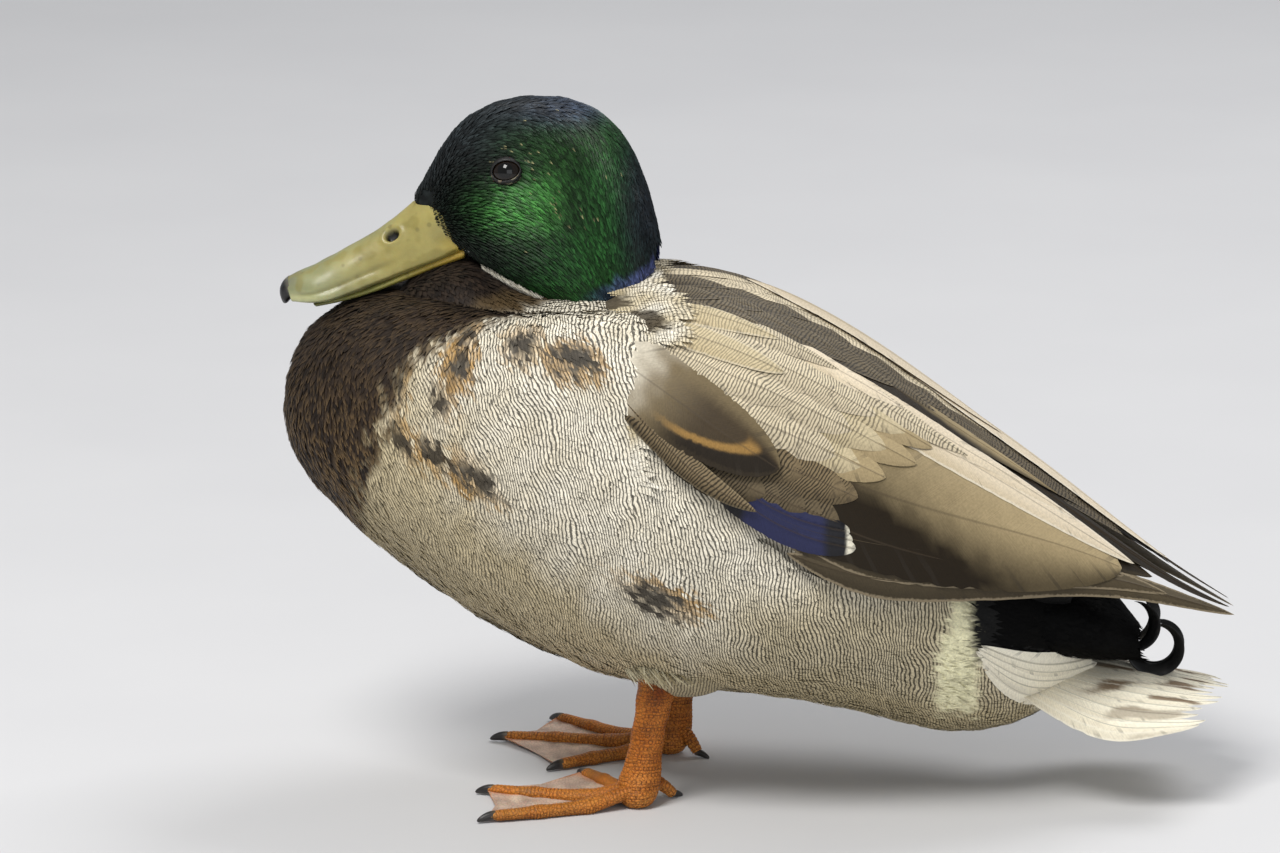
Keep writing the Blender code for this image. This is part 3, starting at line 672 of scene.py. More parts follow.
@dataclass(frozen=True)
class PlumageFinish:
    """Feather surface: the mesh's own tint, crossed by fine wavy dark lines where Bars says so.

    The lines are rings round a centre well ahead of the breast, bent by noise.
    """

    name: str
    roughness: float = 0.62
    sheen: float = 0.02
    metallic: float = 0.0
    specular: float = 0.16
    period: float = 1.08
    centre: tuple[float, float, float] = (0.0, -260.0, 60.0)
    warp: float = 8.0
    warp_size: float = 3.4
    swing: float = 52.0
    swing_size: float = 22.0
    dark: float = 0.19
    pale: float = 1.15
    grain: float = 0.14
    vaned: bool = False

    def material(self) -> Material:
        """Wires the finish."""
        bench = Bench(self.name, Roughness=self.roughness, Sheen_Weight=self.sheen, Sheen_Roughness=0.4,
                      Metallic=self.metallic, Specular_IOR_Level=self.specular)
        places = bench.places()
        tint = bench.colour("Tint")
        bars = bench.number("Bars")
        middle = tuple(value * MM for value in self.centre)
        reach = bench.add("VectorMath", {0: places, 1: middle}, operation="DISTANCE").outputs["Value"]
        turns = bench.maths("MULTIPLY", reach, TAU / (self.period * MM))
        bend = bench.noise(1.0 / (self.warp_size * MM), 1.5, places)
        wide_bend = bench.noise(1.0 / (self.swing_size * MM), 1.0, places)
        bend = bench.maths("MULTIPLY", bend, self.warp)
        swing = bench.maths("MULTIPLY", wide_bend, self.swing)
        angle = bench.maths("ADD", bench.maths("ADD", turns, bend), swing)
        wave = bench.maths("SINE", angle)
        breaks = bench.noise(1.0 / (1.1 * MM), 1.0, places)
        wave = bench.maths("ADD", wave, bench.stretch(breaks, 0.25, 0.75, -0.2, 0.2))
        line = bench.stretch(wave, -0.2, 0.75)
        line_share = bench.maths("MULTIPLY", line, bars)
        tone = bench.stretch(line_share, 0.0, 1.0, self.pale, self.dark)
        tone_bars = bench.add("Mix", {0: bars, 2: 1.0, 3: tone}, data_type="FLOAT").outputs[0]
        colour = bench.shaded(tint, tone_bars)
        fine = bench.noise(1.0 / (0.9 * MM), 3.0, places)
        speck = bench.stretch(fine, 0.3, 0.7, 1.0 - self.grain, 1.0 + self.grain)
        colour = bench.shaded(colour, speck)
        height = fine
        if self.vaned:
            colour, height = self.vane(bench, colour, fine)
        rough = bench.stretch(fine, 0.3, 0.7, self.roughness - 0.07, self.roughness + 0.07)
        return bench.finish(colour, height, 0.12 * MM, 0.5, rough)

    def vane(self, bench: Bench, colour: object, fine: object) -> tuple[object, object]:
        """Barbs running out from the shaft, splits near the rim with a dip in the bump and painted shade in
        the colour, a pale or dark rim and the shaft itself.

        Args:
            bench: the tree in the making.
            colour: the colour so far.
            fine: fine noise, 0..1.

        Returns:
            The colour with the vane's marks, and the bump height.
        """
        barb = bench.number("Barb")
        rim = bench.number("Rim")
        edge = bench.add("Attribute", attribute_name="RimTint")
        strands = bench.strands(barb, 2.6, 2.0)
        tone = bench.stretch(strands, 0.3, 0.7, 0.90, 1.07)
        colour = bench.shaded(colour, tone)
        # painted shade: near-black lines where the vane splits, strongest toward the rim
        splits = bench.strands(barb, 0.24, 0.0)
        slit = bench.maths("MULTIPLY", bench.stretch(splits, 0.735, 0.755), bench.stretch(rim, 0.5, 0.9))
        colour = bench.mix(bench.maths("MULTIPLY", slit, 0.35), colour, (0.03, 0.024, 0.018, 1.0))
        ragged = bench.maths("ADD", rim, bench.stretch(fine, 0.3, 0.7, -0.03, 0.03))
        share = bench.maths("MULTIPLY", bench.stretch(ragged, 0.84, 0.93), bench.number("Fringe"))
        colour = bench.mix(share, colour, edge.outputs["Color"])
        shaft = bench.number("Shaft")
        colour = bench.mix(bench.stretch(shaft, 0.6, 0.98, 0.0, 0.4), colour, (0.06, 0.043, 0.027, 1.0))
        height = bench.maths("ADD", strands, bench.maths("MULTIPLY", slit, -0.8))
        return colour, height


@dataclass(frozen=True)
class HornFinish:
    """Bill and claws: the mesh's own tint, mottled, lightly scratched and waxy."""

    name: str
    roughness: float = 0.42
    coat: float = 0.25
    mottle: float = 0.16
    spots: float = 0.5
    grain: float = 3.0

    def material(self) -> Material:
        """Wires the finish."""
        bench = Bench(self.name, Roughness=self.roughness, Coat_Weight=self.coat, Coat_Roughness=0.3,
                      Subsurface_Weight=0.06, Subsurface_Scale=0.002, Specular_IOR_Level=0.4)
        places = bench.places()
        patches = bench.noise(1.0 / (9.0 * MM), 4.0, places)
        tone = bench.stretch(patches, 0.3, 0.7, 1.0 - self.mottle, 1.0 + self.mottle)
        colour = bench.shaded(bench.colour("Tint"), tone)
        spots = bench.add("TexVoronoi", {"Vector": places, "Scale": 1.0 / (5.5 * MM), "Randomness": 1.0})
        spot = bench.stretch(spots.outputs["Distance"], 0.10, 0.22, self.spots, 0.0)
        spot = bench.maths("MULTIPLY", spot, bench.stretch(bench.noise(1.0 / (12.0 * MM)), 0.48, 0.56))
        colour = bench.mix(spot, colour, (0.075, 0.06, 0.02, 1.0))
        fine = bench.noise(1.0 / (self.grain * MM), 6.0, places)
        rough = bench.stretch(fine, 0.3, 0.7, self.roughness - 0.1, self.roughness + 0.12)
        return bench.finish(colour, fine, 0.35 * MM, 0.35, rough)


@dataclass(frozen=True)
class ScaleFinish:
    """Leg, toe and web skin: the mesh's own tint, darker in its furrows, with fine grain."""

    name: str
    roughness: float = 0.5
    cell: float = 1.25
    furrow: float = 0.5

    def material(self) -> Material:
        """Wires the finish."""
        bench = Bench(self.name, Roughness=self.roughness, Subsurface_Weight=0.1, Subsurface_Scale=0.002,
                      Specular_IOR_Level=0.25)
        places = bench.places()
        cells = bench.add("TexVoronoi", {"Vector": places, "Scale": 1.0 / (self.cell * MM)},
                          feature="DISTANCE_TO_EDGE").outputs["Distance"]
        furrow = bench.stretch(cells, 0.0, 0.16, 1.0 - self.furrow, 1.0)
        patches = bench.noise(1.0 / (8.0 * MM), 3.0, places)
        tone = bench.maths("MULTIPLY", furrow, bench.stretch(patches, 0.3, 0.7, 0.84, 1.12))
        colour = bench.shaded(bench.colour("Tint"), tone)
        crowns = bench.stretch(cells, 0.0, 0.2)
        height = bench.maths("ADD", crowns, bench.noise(1.0 / (0.5 * MM), 2.0, places))
        rough = bench.stretch(patches, 0.3, 0.7, self.roughness - 0.1, self.roughness + 0.1)
        return bench.finish(colour, height, 0.16 * MM, 0.6, rough)


@dataclass(frozen=True)
class EyeFinish:
    """Dark brown iris round a black pupil under a wet, clear front, by the share from the eye's axis."""

    name: str = "eye_gloss"

    def material(self) -> Material:
        """Wires the finish."""
        bench = Bench(self.name, Roughness=0.06, Coat_Weight=0.3, Coat_Roughness=0.02, Specular_IOR_Level=0.3,
                      Coat_IOR=1.35)
        away = bench.number("Away")
        rays = bench.noise(1.0 / (0.7 * MM), 3.0)
        iris = bench.stretch(rays, 0.3, 0.7)
        iris = bench.mix(iris, (0.004, 0.002, 0.0012, 1.0), (0.010, 0.0055, 0.003, 1.0))
        iris = bench.mix(bench.stretch(away, 0.62, 0.80), iris, (0.008, 0.005, 0.004, 1.0))
        colour = bench.mix(bench.stretch(away, 0.40, 0.46), (0.002, 0.002, 0.002, 1.0), iris)
        return bench.finish(colour)


@dataclass(frozen=True)
class FloorFinish:
    """Plain pale matt floor with a faint mottling."""

    name: str = "pale_floor"

    def material(self) -> Material:
        """Wires the finish."""
        bench = Bench(self.name, Roughness=0.7, Specular_IOR_Level=0.2)
        patches = bench.noise(6.0, 4.0)
        colour = bench.mix(patches, (0.60, 0.60, 0.615, 1.0), (0.66, 0.66, 0.67, 1.0))
        return bench.finish(colour)


class Slot(Enum):
    """The record's material slots."""

    GREEN = "green_plumage"
    WHITE = "white_plumage"
    BREAST = "breast_plumage"
    BROWN = "brown_plumage"
    TERTIAL = "tertial_plumage"
    SPECULUM = "speculum_plumage"
    PRIMARY = "primary_plumage"
    BLACK = "black_plumage"
    BILL = "bill_horn"
    DARK_HORN = "dark_horn"
    LEG = "leg_skin"
    EYE = "eye_gloss"


def shown(name: str, shape: Draft | Mesh, material: Material, replaces: tuple[str, ...] = (),
          crease: float = 80.0) -> None:
    """Puts a finished piece in the scene, riding on the bird's one body.

    Args:
        name: the piece's name.
        shape: its draft or its mesh, in the model's frame.
        material: its finish.
        replaces: CAD nodes it stands for.
        crease: degrees past which an edge of a draft stays sharp.
    """
    mesh = shape.mesh(name, crease) if isinstance(shape, Draft) else shape
    mesh.materials.append(material)
    piece = bpy.data.objects.new(name, mesh)
    bpy.context.scene.collection.objects.link(piece)
    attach(piece, "root")
    if replaces:
        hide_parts(*replaces)
    LOG.info("%s: %d faces, %d points", name, len(mesh.polygons), len(mesh.vertices))


# ---- coat --------------------------------------------------------------------------------

FEATHER_CREASE = 50.0
BLADE_SECTION = np.array(((1.0, 0.0), (0.0, 1.0), (-1.0, 0.0)))
PATCH = 0.0015
SIDE_FALL = 0.24


def sweep(surface: Surface, along: Array, across: Array, positive: Array, negative: Array, lift: Array,
          thick: Array, section: Array) -> Array:
    """A thin vane laid on a surface: its section, in the surface's own metric, swept along a line.

    Each point is the surface at the line's place plus the sideways share times the half width,
    raised along the normal by the lift plus the section's height times the thickness.

    Args:
        surface: what the vane lies on.
        along: first parameter of the middle line, last axis along the vane.
        across: second parameter, in the same layout.
        positive: half width on the side of normal x forward, in millimetres.
        negative: half width on the other side.
        lift: height of the middle line over the surface.
        thick: height that a section height of one stands for.
        section: rows of sideways share and height.

    Returns:
        Points with two more axes: the section's points and x, y, z.
    """
    lengthwise, crosswise, normal = surface.slopes(along, across)
    forward = unit(np.gradient(surface.at(along, across), axis=-2))
    sideways = unit(np.cross(normal, forward))
    first = np.sum(lengthwise * lengthwise, axis=-1)
    mixed = np.sum(lengthwise * crosswise, axis=-1)
    second = np.sum(crosswise * crosswise, axis=-1)
    scale = np.maximum(first * second - mixed ** 2, 1e-9)
    on_first = np.sum(sideways * lengthwise, axis=-1)
    on_second = np.sum(sideways * crosswise, axis=-1)
    step_along = (on_first * second - on_second * mixed) / scale
    step_across = (on_second * first - on_first * mixed) / scale
    share = section[:, 0]
    reach = np.where(share > 0.0, positive[..., None] * share, negative[..., None] * share)
    points = surface.at(along[..., None] + step_along[..., None] * reach,
                        across[..., None] + step_across[..., None] * reach)
    rise = lift[..., None] + thick[..., None] * section[:, 1]
    return points + normal[..., None, :] * rise[..., None]


def scatter(surface: Surface, along: tuple[float, float], across: tuple[float, float], spacing: float,
            seed: int) -> tuple[Array, Array]:
    """Evenly spread root places: a low-discrepancy sequence sent through the patch's area shares.

    Args:
        surface: what is covered.
        along: range of the first parameter.
        across: range of the second.
        spacing: usual distance between neighbours, in millimetres.
        seed: where the sequence starts.

    Returns:
        First and second parameter of each root.
    """
    cells = 160
    rows = np.linspace(*along, cells + 1)
    columns = np.linspace(*across, cells + 1)
    grid = np.meshgrid(0.5 * (rows[1:] + rows[:-1]), 0.5 * (columns[1:] + columns[:-1]), indexing="ij")
    lengthwise, crosswise, _ = surface.slopes(*grid)
    area = np.linalg.norm(np.cross(lengthwise, crosswise), axis=-1)
    area *= (rows[1] - rows[0]) * abs(columns[1] - columns[0])
    count = int(area.sum() / spacing ** 2)
    steps = np.arange(count) + seed * 17.0
    first = (0.5 + steps * 0.7548776662) % 1.0
    second = (0.5 + steps * 0.5698402910) % 1.0
    total = np.concatenate(((0.0,), np.cumsum(area.sum(axis=1))))
    root_along = np.interp(first, total / total[-1], rows)
    row = np.clip(np.searchsorted(rows, root_along) - 1, 0, cells - 1)
    within = np.cumsum(area, axis=1)
    within = within / within[:, -1:]
    found = np.searchsorted((within + np.arange(cells)[:, None]).ravel(), row + second)
    column = np.clip(found - row * cells, 0, cells - 1)
    before = np.where(column > 0, within[row, np.maximum(column - 1, 0)], 0.0)
    share = (second - before) / np.maximum(within[row, column] - before, 1e-9)
    return root_along, columns[column] + np.clip(share, 0.0, 1.0) * (columns[1] - columns[0])


@dataclass(frozen=True)
class Cut:
    """How a tract's small feathers are cut: each is a fan of thin closed blades, in millimetres."""

    length: float
    half_width: float
    blades: int
    spread: float
    root: float
    tip: float
    crest: float
    relief: float = 0.5
    steps: tuple[float, ...] = (0.0, 0.32, 0.68, 0.9)
    widths: tuple[float, ...] = (0.6, 1.0, 0.86, 0.5)
    ruffle: float = 0.0


@dataclass
class Tract:
    """A field of small feathers on one surface, before it gets its colours.

    Attributes:
        points: places of the blades' points, blade by blade.
        along: first surface parameter at each point.
        across: second surface parameter at each point.
        share: share of the way from root to tip at each point.
        chance: one random number for each blade, spread over its points.
        plume: one random number for each feather, spread over its points.
        faces: the blades' faces.
        vane: places across and along each blade, 0..1.
        bake: places on the surface's own map, a small patch for each feather.
    """

    points: Array
    along: Array
    across: Array
    share: Array
    chance: Array
    plume: Array
    faces: Array
    vane: Array
    bake: Array

    def dressed(self, tint: Array, bars: Array) -> Draft:
        """The tract as a draft with its colours and the strength of its cross lines."""
        return Draft(self.points, self.faces, tint, {"Bars": bars}, self.vane, self.bake)


def grow(surface: Surface, along: Array, across: Array, yaw: Array, size: Array, cut: Cut,
         seed: int) -> Tract:
    """Small feathers at given roots, each a fan of blades that starts under the coat and lies back.

    A blade's middle line goes straight from its root along the lie, turned by its place in the
    fan; its height rises from the root depth to the tip height with the share to the power 0.7.

    Args:
        surface: what the feathers lie on.
        along: first parameter of the roots.
        across: second parameter of the roots.
        yaw: lie, in radians from the way of growing along toward growing across.
        size: each feather's size against the cut's.
        cut: the tract's cut.
        seed: seed of the random spread.

    Returns:
        The tract.
    """
    draw = np.random.default_rng(seed)
    count = len(along)
    fan = np.linspace(-1.0, 1.0, cut.blades) if cut.blades > 1 else np.zeros(1)
    grid = (count, cut.blades)
    turn = yaw[:, None] + fan * np.radians(cut.spread) / 2.0 + draw.normal(0.0, 0.07, grid)
    length = cut.length * size[:, None] * (1.0 - 0.16 * fan ** 2) * draw.uniform(0.84, 1.1, grid)
    half = cut.half_width * size[:, None] * draw.uniform(0.8, 1.2, grid)
    start = fan * cut.half_width * 0.8 * size[:, None]
    lengthwise, crosswise, _ = surface.slopes(along, across)
    per_along = np.linalg.norm(lengthwise, axis=-1)[:, None, None]
    per_across = np.linalg.norm(crosswise, axis=-1)[:, None, None]
    share = np.array(cut.steps + (1.0,))
    ahead = length[..., None] * share
    line_along = along[:, None, None] + ahead * np.cos(turn)[..., None] / per_along
    beside = ahead * np.sin(turn)[..., None] + start[..., None]
    line_across = across[:, None, None] + beside / per_across
    middle = surface.at(line_along, line_across)
    own = draw.normal(0.0, 0.06, grid) + cut.ruffle * draw.uniform(-1.0, 1.0, (count, 1))
    lift = cut.root + (cut.tip - cut.root) * share ** 0.7 + own[..., None] * share
    lift = lift + cut.relief * (0.65 * ripple(middle, 26.0, 5) + 0.35 * ripple(middle, 9.0, 6))
    wide = half[..., None] * np.array(cut.widths + (0.0,))
    thick = np.full(share.shape, cut.crest) * np.sqrt(np.maximum(1.0 - share ** 3, 0.0))
    thick = np.broadcast_to(thick, wide.shape)
    points = sweep(surface, line_along, line_across, wide, wide, lift, thick, BLADE_SECTION)
    rows = len(cut.steps)
    sides = len(BLADE_SECTION)
    body = points[..., :rows, :, :].reshape(count * cut.blades, rows * sides, 3)
    tip = points[..., rows, 1, :].reshape(-1, 1, 3)
    every = np.concatenate((body, tip), axis=1)
    each = rows * sides + 1
    blades = count * cut.blades
    faces = ring_faces(rows, sides)
    faces = (faces[None] + (np.arange(blades) * each)[:, None, None]).reshape(-1, 4)

    def per_point(numbers: Array) -> Array:
        """Numbers for each row of a blade, repeated over its section and set out point by point."""
        table = np.broadcast_to(numbers, (*grid, rows + 1)).reshape(blades, rows + 1)
        return np.concatenate((np.repeat(table[:, :rows], sides, axis=1), table[:, rows:]), axis=1).ravel()

    side = np.tile(np.concatenate((np.tile(BLADE_SECTION[:, 0], rows), (0.0,))), blades)
    step = per_point(share)
    roots = np.repeat(surface.unwrapped(along, across), cut.blades * each, axis=0)
    patch = np.stack((side * PATCH, (step - 0.5) * 2.0 * PATCH), axis=-1)
    return Tract(
        every.reshape(-1, 3), per_point(line_along), per_point(line_across), step,
        np.repeat(draw.random(blades), each), np.repeat(draw.random(count), cut.blades * each), faces,
        np.stack((side * 0.5 + 0.5, step), axis=-1), roots + patch)


def nearest(points: Array, samples: Array, block: int = 400) -> Array:
    """Number of the nearest sample to each point, worked out block by block."""
    samples = samples.astype(np.float32)
    square = np.sum(samples ** 2, axis=1)
    found = np.empty(len(points), int)
    for start in range(0, len(points), block):
        part = points[start:start + block].astype(np.float32)
        found[start:start + block] = np.argmin(square - 2.0 * part @ samples.T, axis=1)
    return found


# ---- markings ----------------------------------------------------------------------------


@dataclass(frozen=True)
class Spot:
    """One leftover summer feather: a dark blot with a rusty fringe, placed on the trunk's outline.

    Its place is a share along the trunk and a turn from the back, in degrees; its half sizes are
    in millimetres; rust is the fringe's strength, which shows below at lean -1, above at 1, and
    all round at 0.
    """

    along: float
    across: float
    long: float
    wide: float
    rust: float = 0.6
    lean: float = 0.0


LEFT_SPOTS = (
    Spot(0.250, 120, 7.5, 3.4, 0.7, 1.0), Spot(0.223, 105, 7.5, 5.6, 1.0, 0.0),
    Spot(0.280, 110, 6.0, 5.0, 0.7, 1.0), Spot(0.183, 89, 7.0, 6.0, 0.5, 0.0),
    Spot(0.225, 78, 8.0, 8.6, 0.8, 0.0), Spot(0.342, 122, 9.0, 3.8, 0.8, 1.0),
    Spot(0.372, 116, 8.6, 4.8, 0.9, -1.0), Spot(0.411, 110, 9.6, 7.0, 1.0, -1.0),
    Spot(0.609, 103, 13.0, 8.2, 0.9, 1.0), Spot(0.172, 104, 6.0, 3.6, 0.5, 0.0),
)
RIGHT_SPOTS = (
    Spot(0.262, 111, 7.5, 3.6, 0.7, 0.0), Spot(0.215, 92, 6.0, 5.0, 0.8, 1.0),
    Spot(0.330, 104, 6.6, 5.8, 0.8, -1.0), Spot(0.420, 112, 6.6, 6.0, 0.9, 0.0),
    Spot(0.560, 92, 10.0, 6.0, 0.8, 1.0), Spot(0.655, 104, 7.0, 4.6, 0.6, 0.0),
)


@dataclass(frozen=True)
class TrunkMarkings:
    """Colours of breast, flanks, belly, cream band and black tail coverts on the trunk's outline."""

    breast_along: tuple[float, ...] = (0.0, 0.062, 0.12, 0.166, 0.23, 0.31, 0.376, 0.44, 0.49, 0.53)
    breast_across: tuple[float, ...] = (86.0, 92.0, 104.0, 111.0, 119.0, 124.0, 131.0, 143.0, 159.0, 184.0)
    band: tuple[float, float] = (63.5, 77.0)
    band_level: float = 27.0
    black_level: float = 44.7

    def breast(self, along: Array, across: Array, points: Array) -> Array:
        """Share of breast colour: past the border turn for each place along the trunk."""
        border = np.interp(along, self.breast_along, self.breast_across, right=200.0)
        rough = 2.6 * ripple(points, 7.0, 21) + 1.6 * ripple(points, 2.6, 22)
        return eased(-2.5, 2.5, np.abs(across) - border + rough)

    def blots(self, tract: Tract) -> tuple[Array, Array]:
        """Shares of dark and of rust at each point, from both sides' spots."""
        dark = np.zeros(len(tract.points))
        rust = np.zeros(len(tract.points))
        rough = 0.20 * ripple(tract.points, 4.0, 31) + 0.12 * ripple(tract.points, 1.6, 32)
        for sign, spots in ((1.0, LEFT_SPOTS), (-1.0, RIGHT_SPOTS)):
            for spot in spots:
                place = np.array(spot.along), np.array(spot.across * sign)
                lengthwise, crosswise, _ = TRUNK.slopes(*place)
                ahead = (tract.along - place[0]) * np.linalg.norm(lengthwise)
                beside = (tract.across - place[1]) * np.linalg.norm(crosswise) * sign
                away = np.hypot(ahead / spot.long, beside / spot.wide) + rough + 0.6 * (tract.chance - 0.5)
                dark = np.maximum(dark, 1.0 - eased(0.55, 1.0, away))
                fringe = eased(0.55, 0.85, away) * (1.0 - eased(1.1, 1.4, away)) * spot.rust
                facing = np.clip(0.5 - 0.5 * spot.lean * beside / spot.wide, 0.0, 1.0)
                rust = np.maximum(rust, fringe * np.where(spot.lean == 0.0, 1.0, facing))
        return dark, rust

    def colours(self, tract: Tract) -> tuple[Array, Array]:
        """Tint and strength of cross lines at every point of a trunk tract."""
        points, height, turn = tract.points, tract.points[:, 2], np.abs(tract.across)
        low = eased(96.0, 135.0, turn)
        under = eased(132.0, 162.0, turn)
        mottle = 0.5 + 0.5 * ripple(points, 16.0, 41)
        tan = eased(-20.0, 8.0, points[:, 1]) * eased(96.0, 70.0, height)
        tint = layered(Shade.SILVER, (Shade.OATMEAL, np.clip(low + 0.3 * mottle, 0.0, 1.0)),
                       (Shade.BELLY, under), (Shade.STRAW, 0.75 * tan))
        breast = self.breast(tract.along, tract.across, points)
        fringe = 0.16 + 0.74 * np.clip((150.0 - height) / 60.0, 0.0, 1.0)
        fringe = eased(0.62, 0.95, tract.share) * fringe * (tract.chance > 0.35)
        brown = layered(Shade.CHESTNUT, (Shade.CHESTNUT_DARK, tract.plume * 0.8),
                        (Shade.CHESTNUT_FRINGE, fringe))
        border = np.interp(tract.along, self.breast_along, self.breast_across)
        edge = eased(-12.0, -2.0, turn - border) * (1.0 - breast) * (tract.along < 0.2)
        edge = np.clip(breast * (1.0 - breast) * 4.0 + edge, 0.0, 1.0)
        dark, rust = self.blots(tract)
        outside = 1.0 - breast
        tint = layered(blend(tint, brown, breast), (Shade.OLIVE_BROWN, edge * 0.75 * (tract.chance > 0.25)),
                       (Shade.RUST, rust * outside * 0.9), (Shade.SPOT, dark * outside * 0.93))
        bars = (1.0 - 0.15 * low - 0.3 * under) * outside * (1.0 - 0.5 * edge) * (1.0 - 0.55 * dark)
        tint, bars = self.rear(tract, tint, bars)
        return tint * (0.90 + 0.20 * tract.chance)[:, None], bars

    def rear(self, tract: Tract, tint: Array, bars: Array) -> tuple[Array, Array]:
        """Cream band in three ragged strips, black coverts behind it and the white side of the tail's root.

        Args:
            tract: feathers on the trunk.
            tint: colours so far.
            bars: line strengths so far.

        Returns:
            Both, changed behind the band's front edge.
        """
        points = tract.points
        seen = side_height(points)
        place = points[:, 1] + 1.3 * ripple(points, 7.0, 51) + 1.6 * (tract.chance - 0.5)
        front = self.band[0] + 0.30 * np.maximum(seen - 42.0, 0.0)
        back = self.band[1] - 0.10 * (seen - 45.0)
        foot = seen + 3.0 * ripple(points * (1.0, 1.0, 0.2), 4.0, 52)
        band = eased(-1.0, 1.0, place - front) * eased(self.band_level - 3.0, self.band_level + 4.0, foot)
        band = band * eased(1.0, -1.0, place - back)
        slit = points[:, 1] + 1.1 * ripple(points, 9.0, 53) - front
        gap = np.minimum(np.abs(slit - 6.0), np.abs(slit - 11.0))
        beneath = eased(0.955, 0.975, tract.along) * eased(150.0, 165.0, np.abs(tract.across))
        behind = eased(-0.8, 0.8, place - back)
        black = behind * np.maximum(eased(self.black_level - 1.2, self.black_level + 0.8, seen), beneath)
        wedge = eased(-1.0, 1.0, seen - self.black_level + 0.87 * (points[:, 1] - 78.4))
        wedge = wedge * behind * (1.0 - black)
        tint = layered(tint, (Shade.CREAM, band * 0.92), (Shade.BAND_GAP, band * eased(0.7, 0.15, gap) * 0.6),
                       (Shade.TAIL, wedge), (Shade.SOOT, black))
        return tint, bars * (1.0 - band) * (1.0 - np.maximum(black, wedge))


@dataclass(frozen=True)
class Patch:
    """A soft area of head colour: middle and radii in the side view, in millimetres."""

    along: float
    height: float
    long: float
    tall: float
    shade: Shade
    weight: float = 1.0


HEAD_PATCHES = (
    Patch(-66, 205, 60, 60, Shade.DEEP_GREEN, 0.10),
    Patch(-92, 240, 34, 10, Shade.CROWN, 2.2), Patch(-60, 244, 30, 7, Shade.CROWN, 2.0),
    Patch(-113, 216, 9, 12, Shade.CROWN, 1.6), Patch(-104, 228, 14, 9, Shade.CROWN, 1.4),
    Patch(-105, 202, 12, 12, Shade.LORES, 2.0), Patch(-97, 214, 12, 8, Shade.LORES, 2.0),
    Patch(-84, 217, 9, 6, Shade.LORES, 0.8), Patch(-95, 189, 14, 8, Shade.LORES, 1.1),
    Patch(-82, 205, 12, 7.5, Shade.EMERALD, 2.6), Patch(-70, 209, 9, 6, Shade.EMERALD, 0.7),
    Patch(-61, 207, 8, 8, Shade.MOSS, 1.8), Patch(-68, 227, 16, 6, Shade.DEEP_GREEN, 2.0),
    Patch(-50, 207, 7, 24, Shade.LEAF, 1.3), Patch(-58, 187, 15, 9, Shade.LEAF, 1.6),
    Patch(-80, 190, 13, 8, Shade.MOSS, 1.8), Patch(-56, 177, 16, 6, Shade.LEAF, 1.0),
    Patch(-62, 238, 14, 4, Shade.CROWN_SHEEN, 1.2), Patch(-37, 206, 7.5, 34, Shade.NAPE, 3.4),
)


@dataclass(frozen=True)
class HeadMarkings:
    """Colours of the head: soft patches weighted by how near they are, flecks and a violet hem."""

    hem: float = 176.0

    def colours(self, tract: Tract) -> tuple[Array, Array]:
        """Tint of every point: a mean of the patches, each weighted by exp of minus its squared way off.

        Args:
            tract: feathers on the head.

        Returns:
            Linear colours, and zeros for the cross lines.
        """
        along, height = tract.points[:, 1], tract.points[:, 2]
        total = np.zeros(len(along))
        tint = np.zeros((len(along), 3))
        for patch in HEAD_PATCHES:
            away = ((along - patch.along) / patch.long) ** 2 + ((height - patch.height) / patch.tall) ** 2
            weight = patch.weight * np.exp(-away) + 1e-6
            total += weight
            tint += weight[:, None] * patch.shade.light
        tint /= total[:, None]
        over_hem = height - 0.42 * (along + 62.0) + 1.2 * ripple(tract.points, 6.0, 61)
        hem = 1.0 - eased(self.hem - 3.0, self.hem, over_hem)
        tint = layered(tint, (Shade.VIOLET, hem * eased(-62.0, -46.0, along) * 0.5))
        around_eye = np.hypot((along + 82.0) / 15.0, (height - 220.0) / 7.0)
        on_cheek = np.hypot((along + 63.0) / 13.0, (height - 205.0 + 0.5 * (along + 63.0)) / 5.5)
        near = (around_eye < 1.0) | (on_cheek < 1.0)
        fleck = (tract.chance > np.where(near, 0.90, 0.997)) & (tract.share > 0.8)
        tint = np.where(fleck[:, None], Shade.FLECK.light * 0.7, tint)
        tip = eased(0.5, 1.0, tract.share) * 0.25
        return tint * (0.34 + 1.35 * tract.plume ** 1.7 + tip)[:, None], np.zeros(len(along))


# ---- small feathers ----------------------------------------------------------------------


def side_height(points: Array) -> Array:
    """Height of points as they line up in the side view, which looks a little down."""
    return points[:, 2] - SIDE_FALL * np.abs(points[:, 0])


SHORT = ((0.0, 0.35, 0.72), (0.6, 1.0, 0.75))


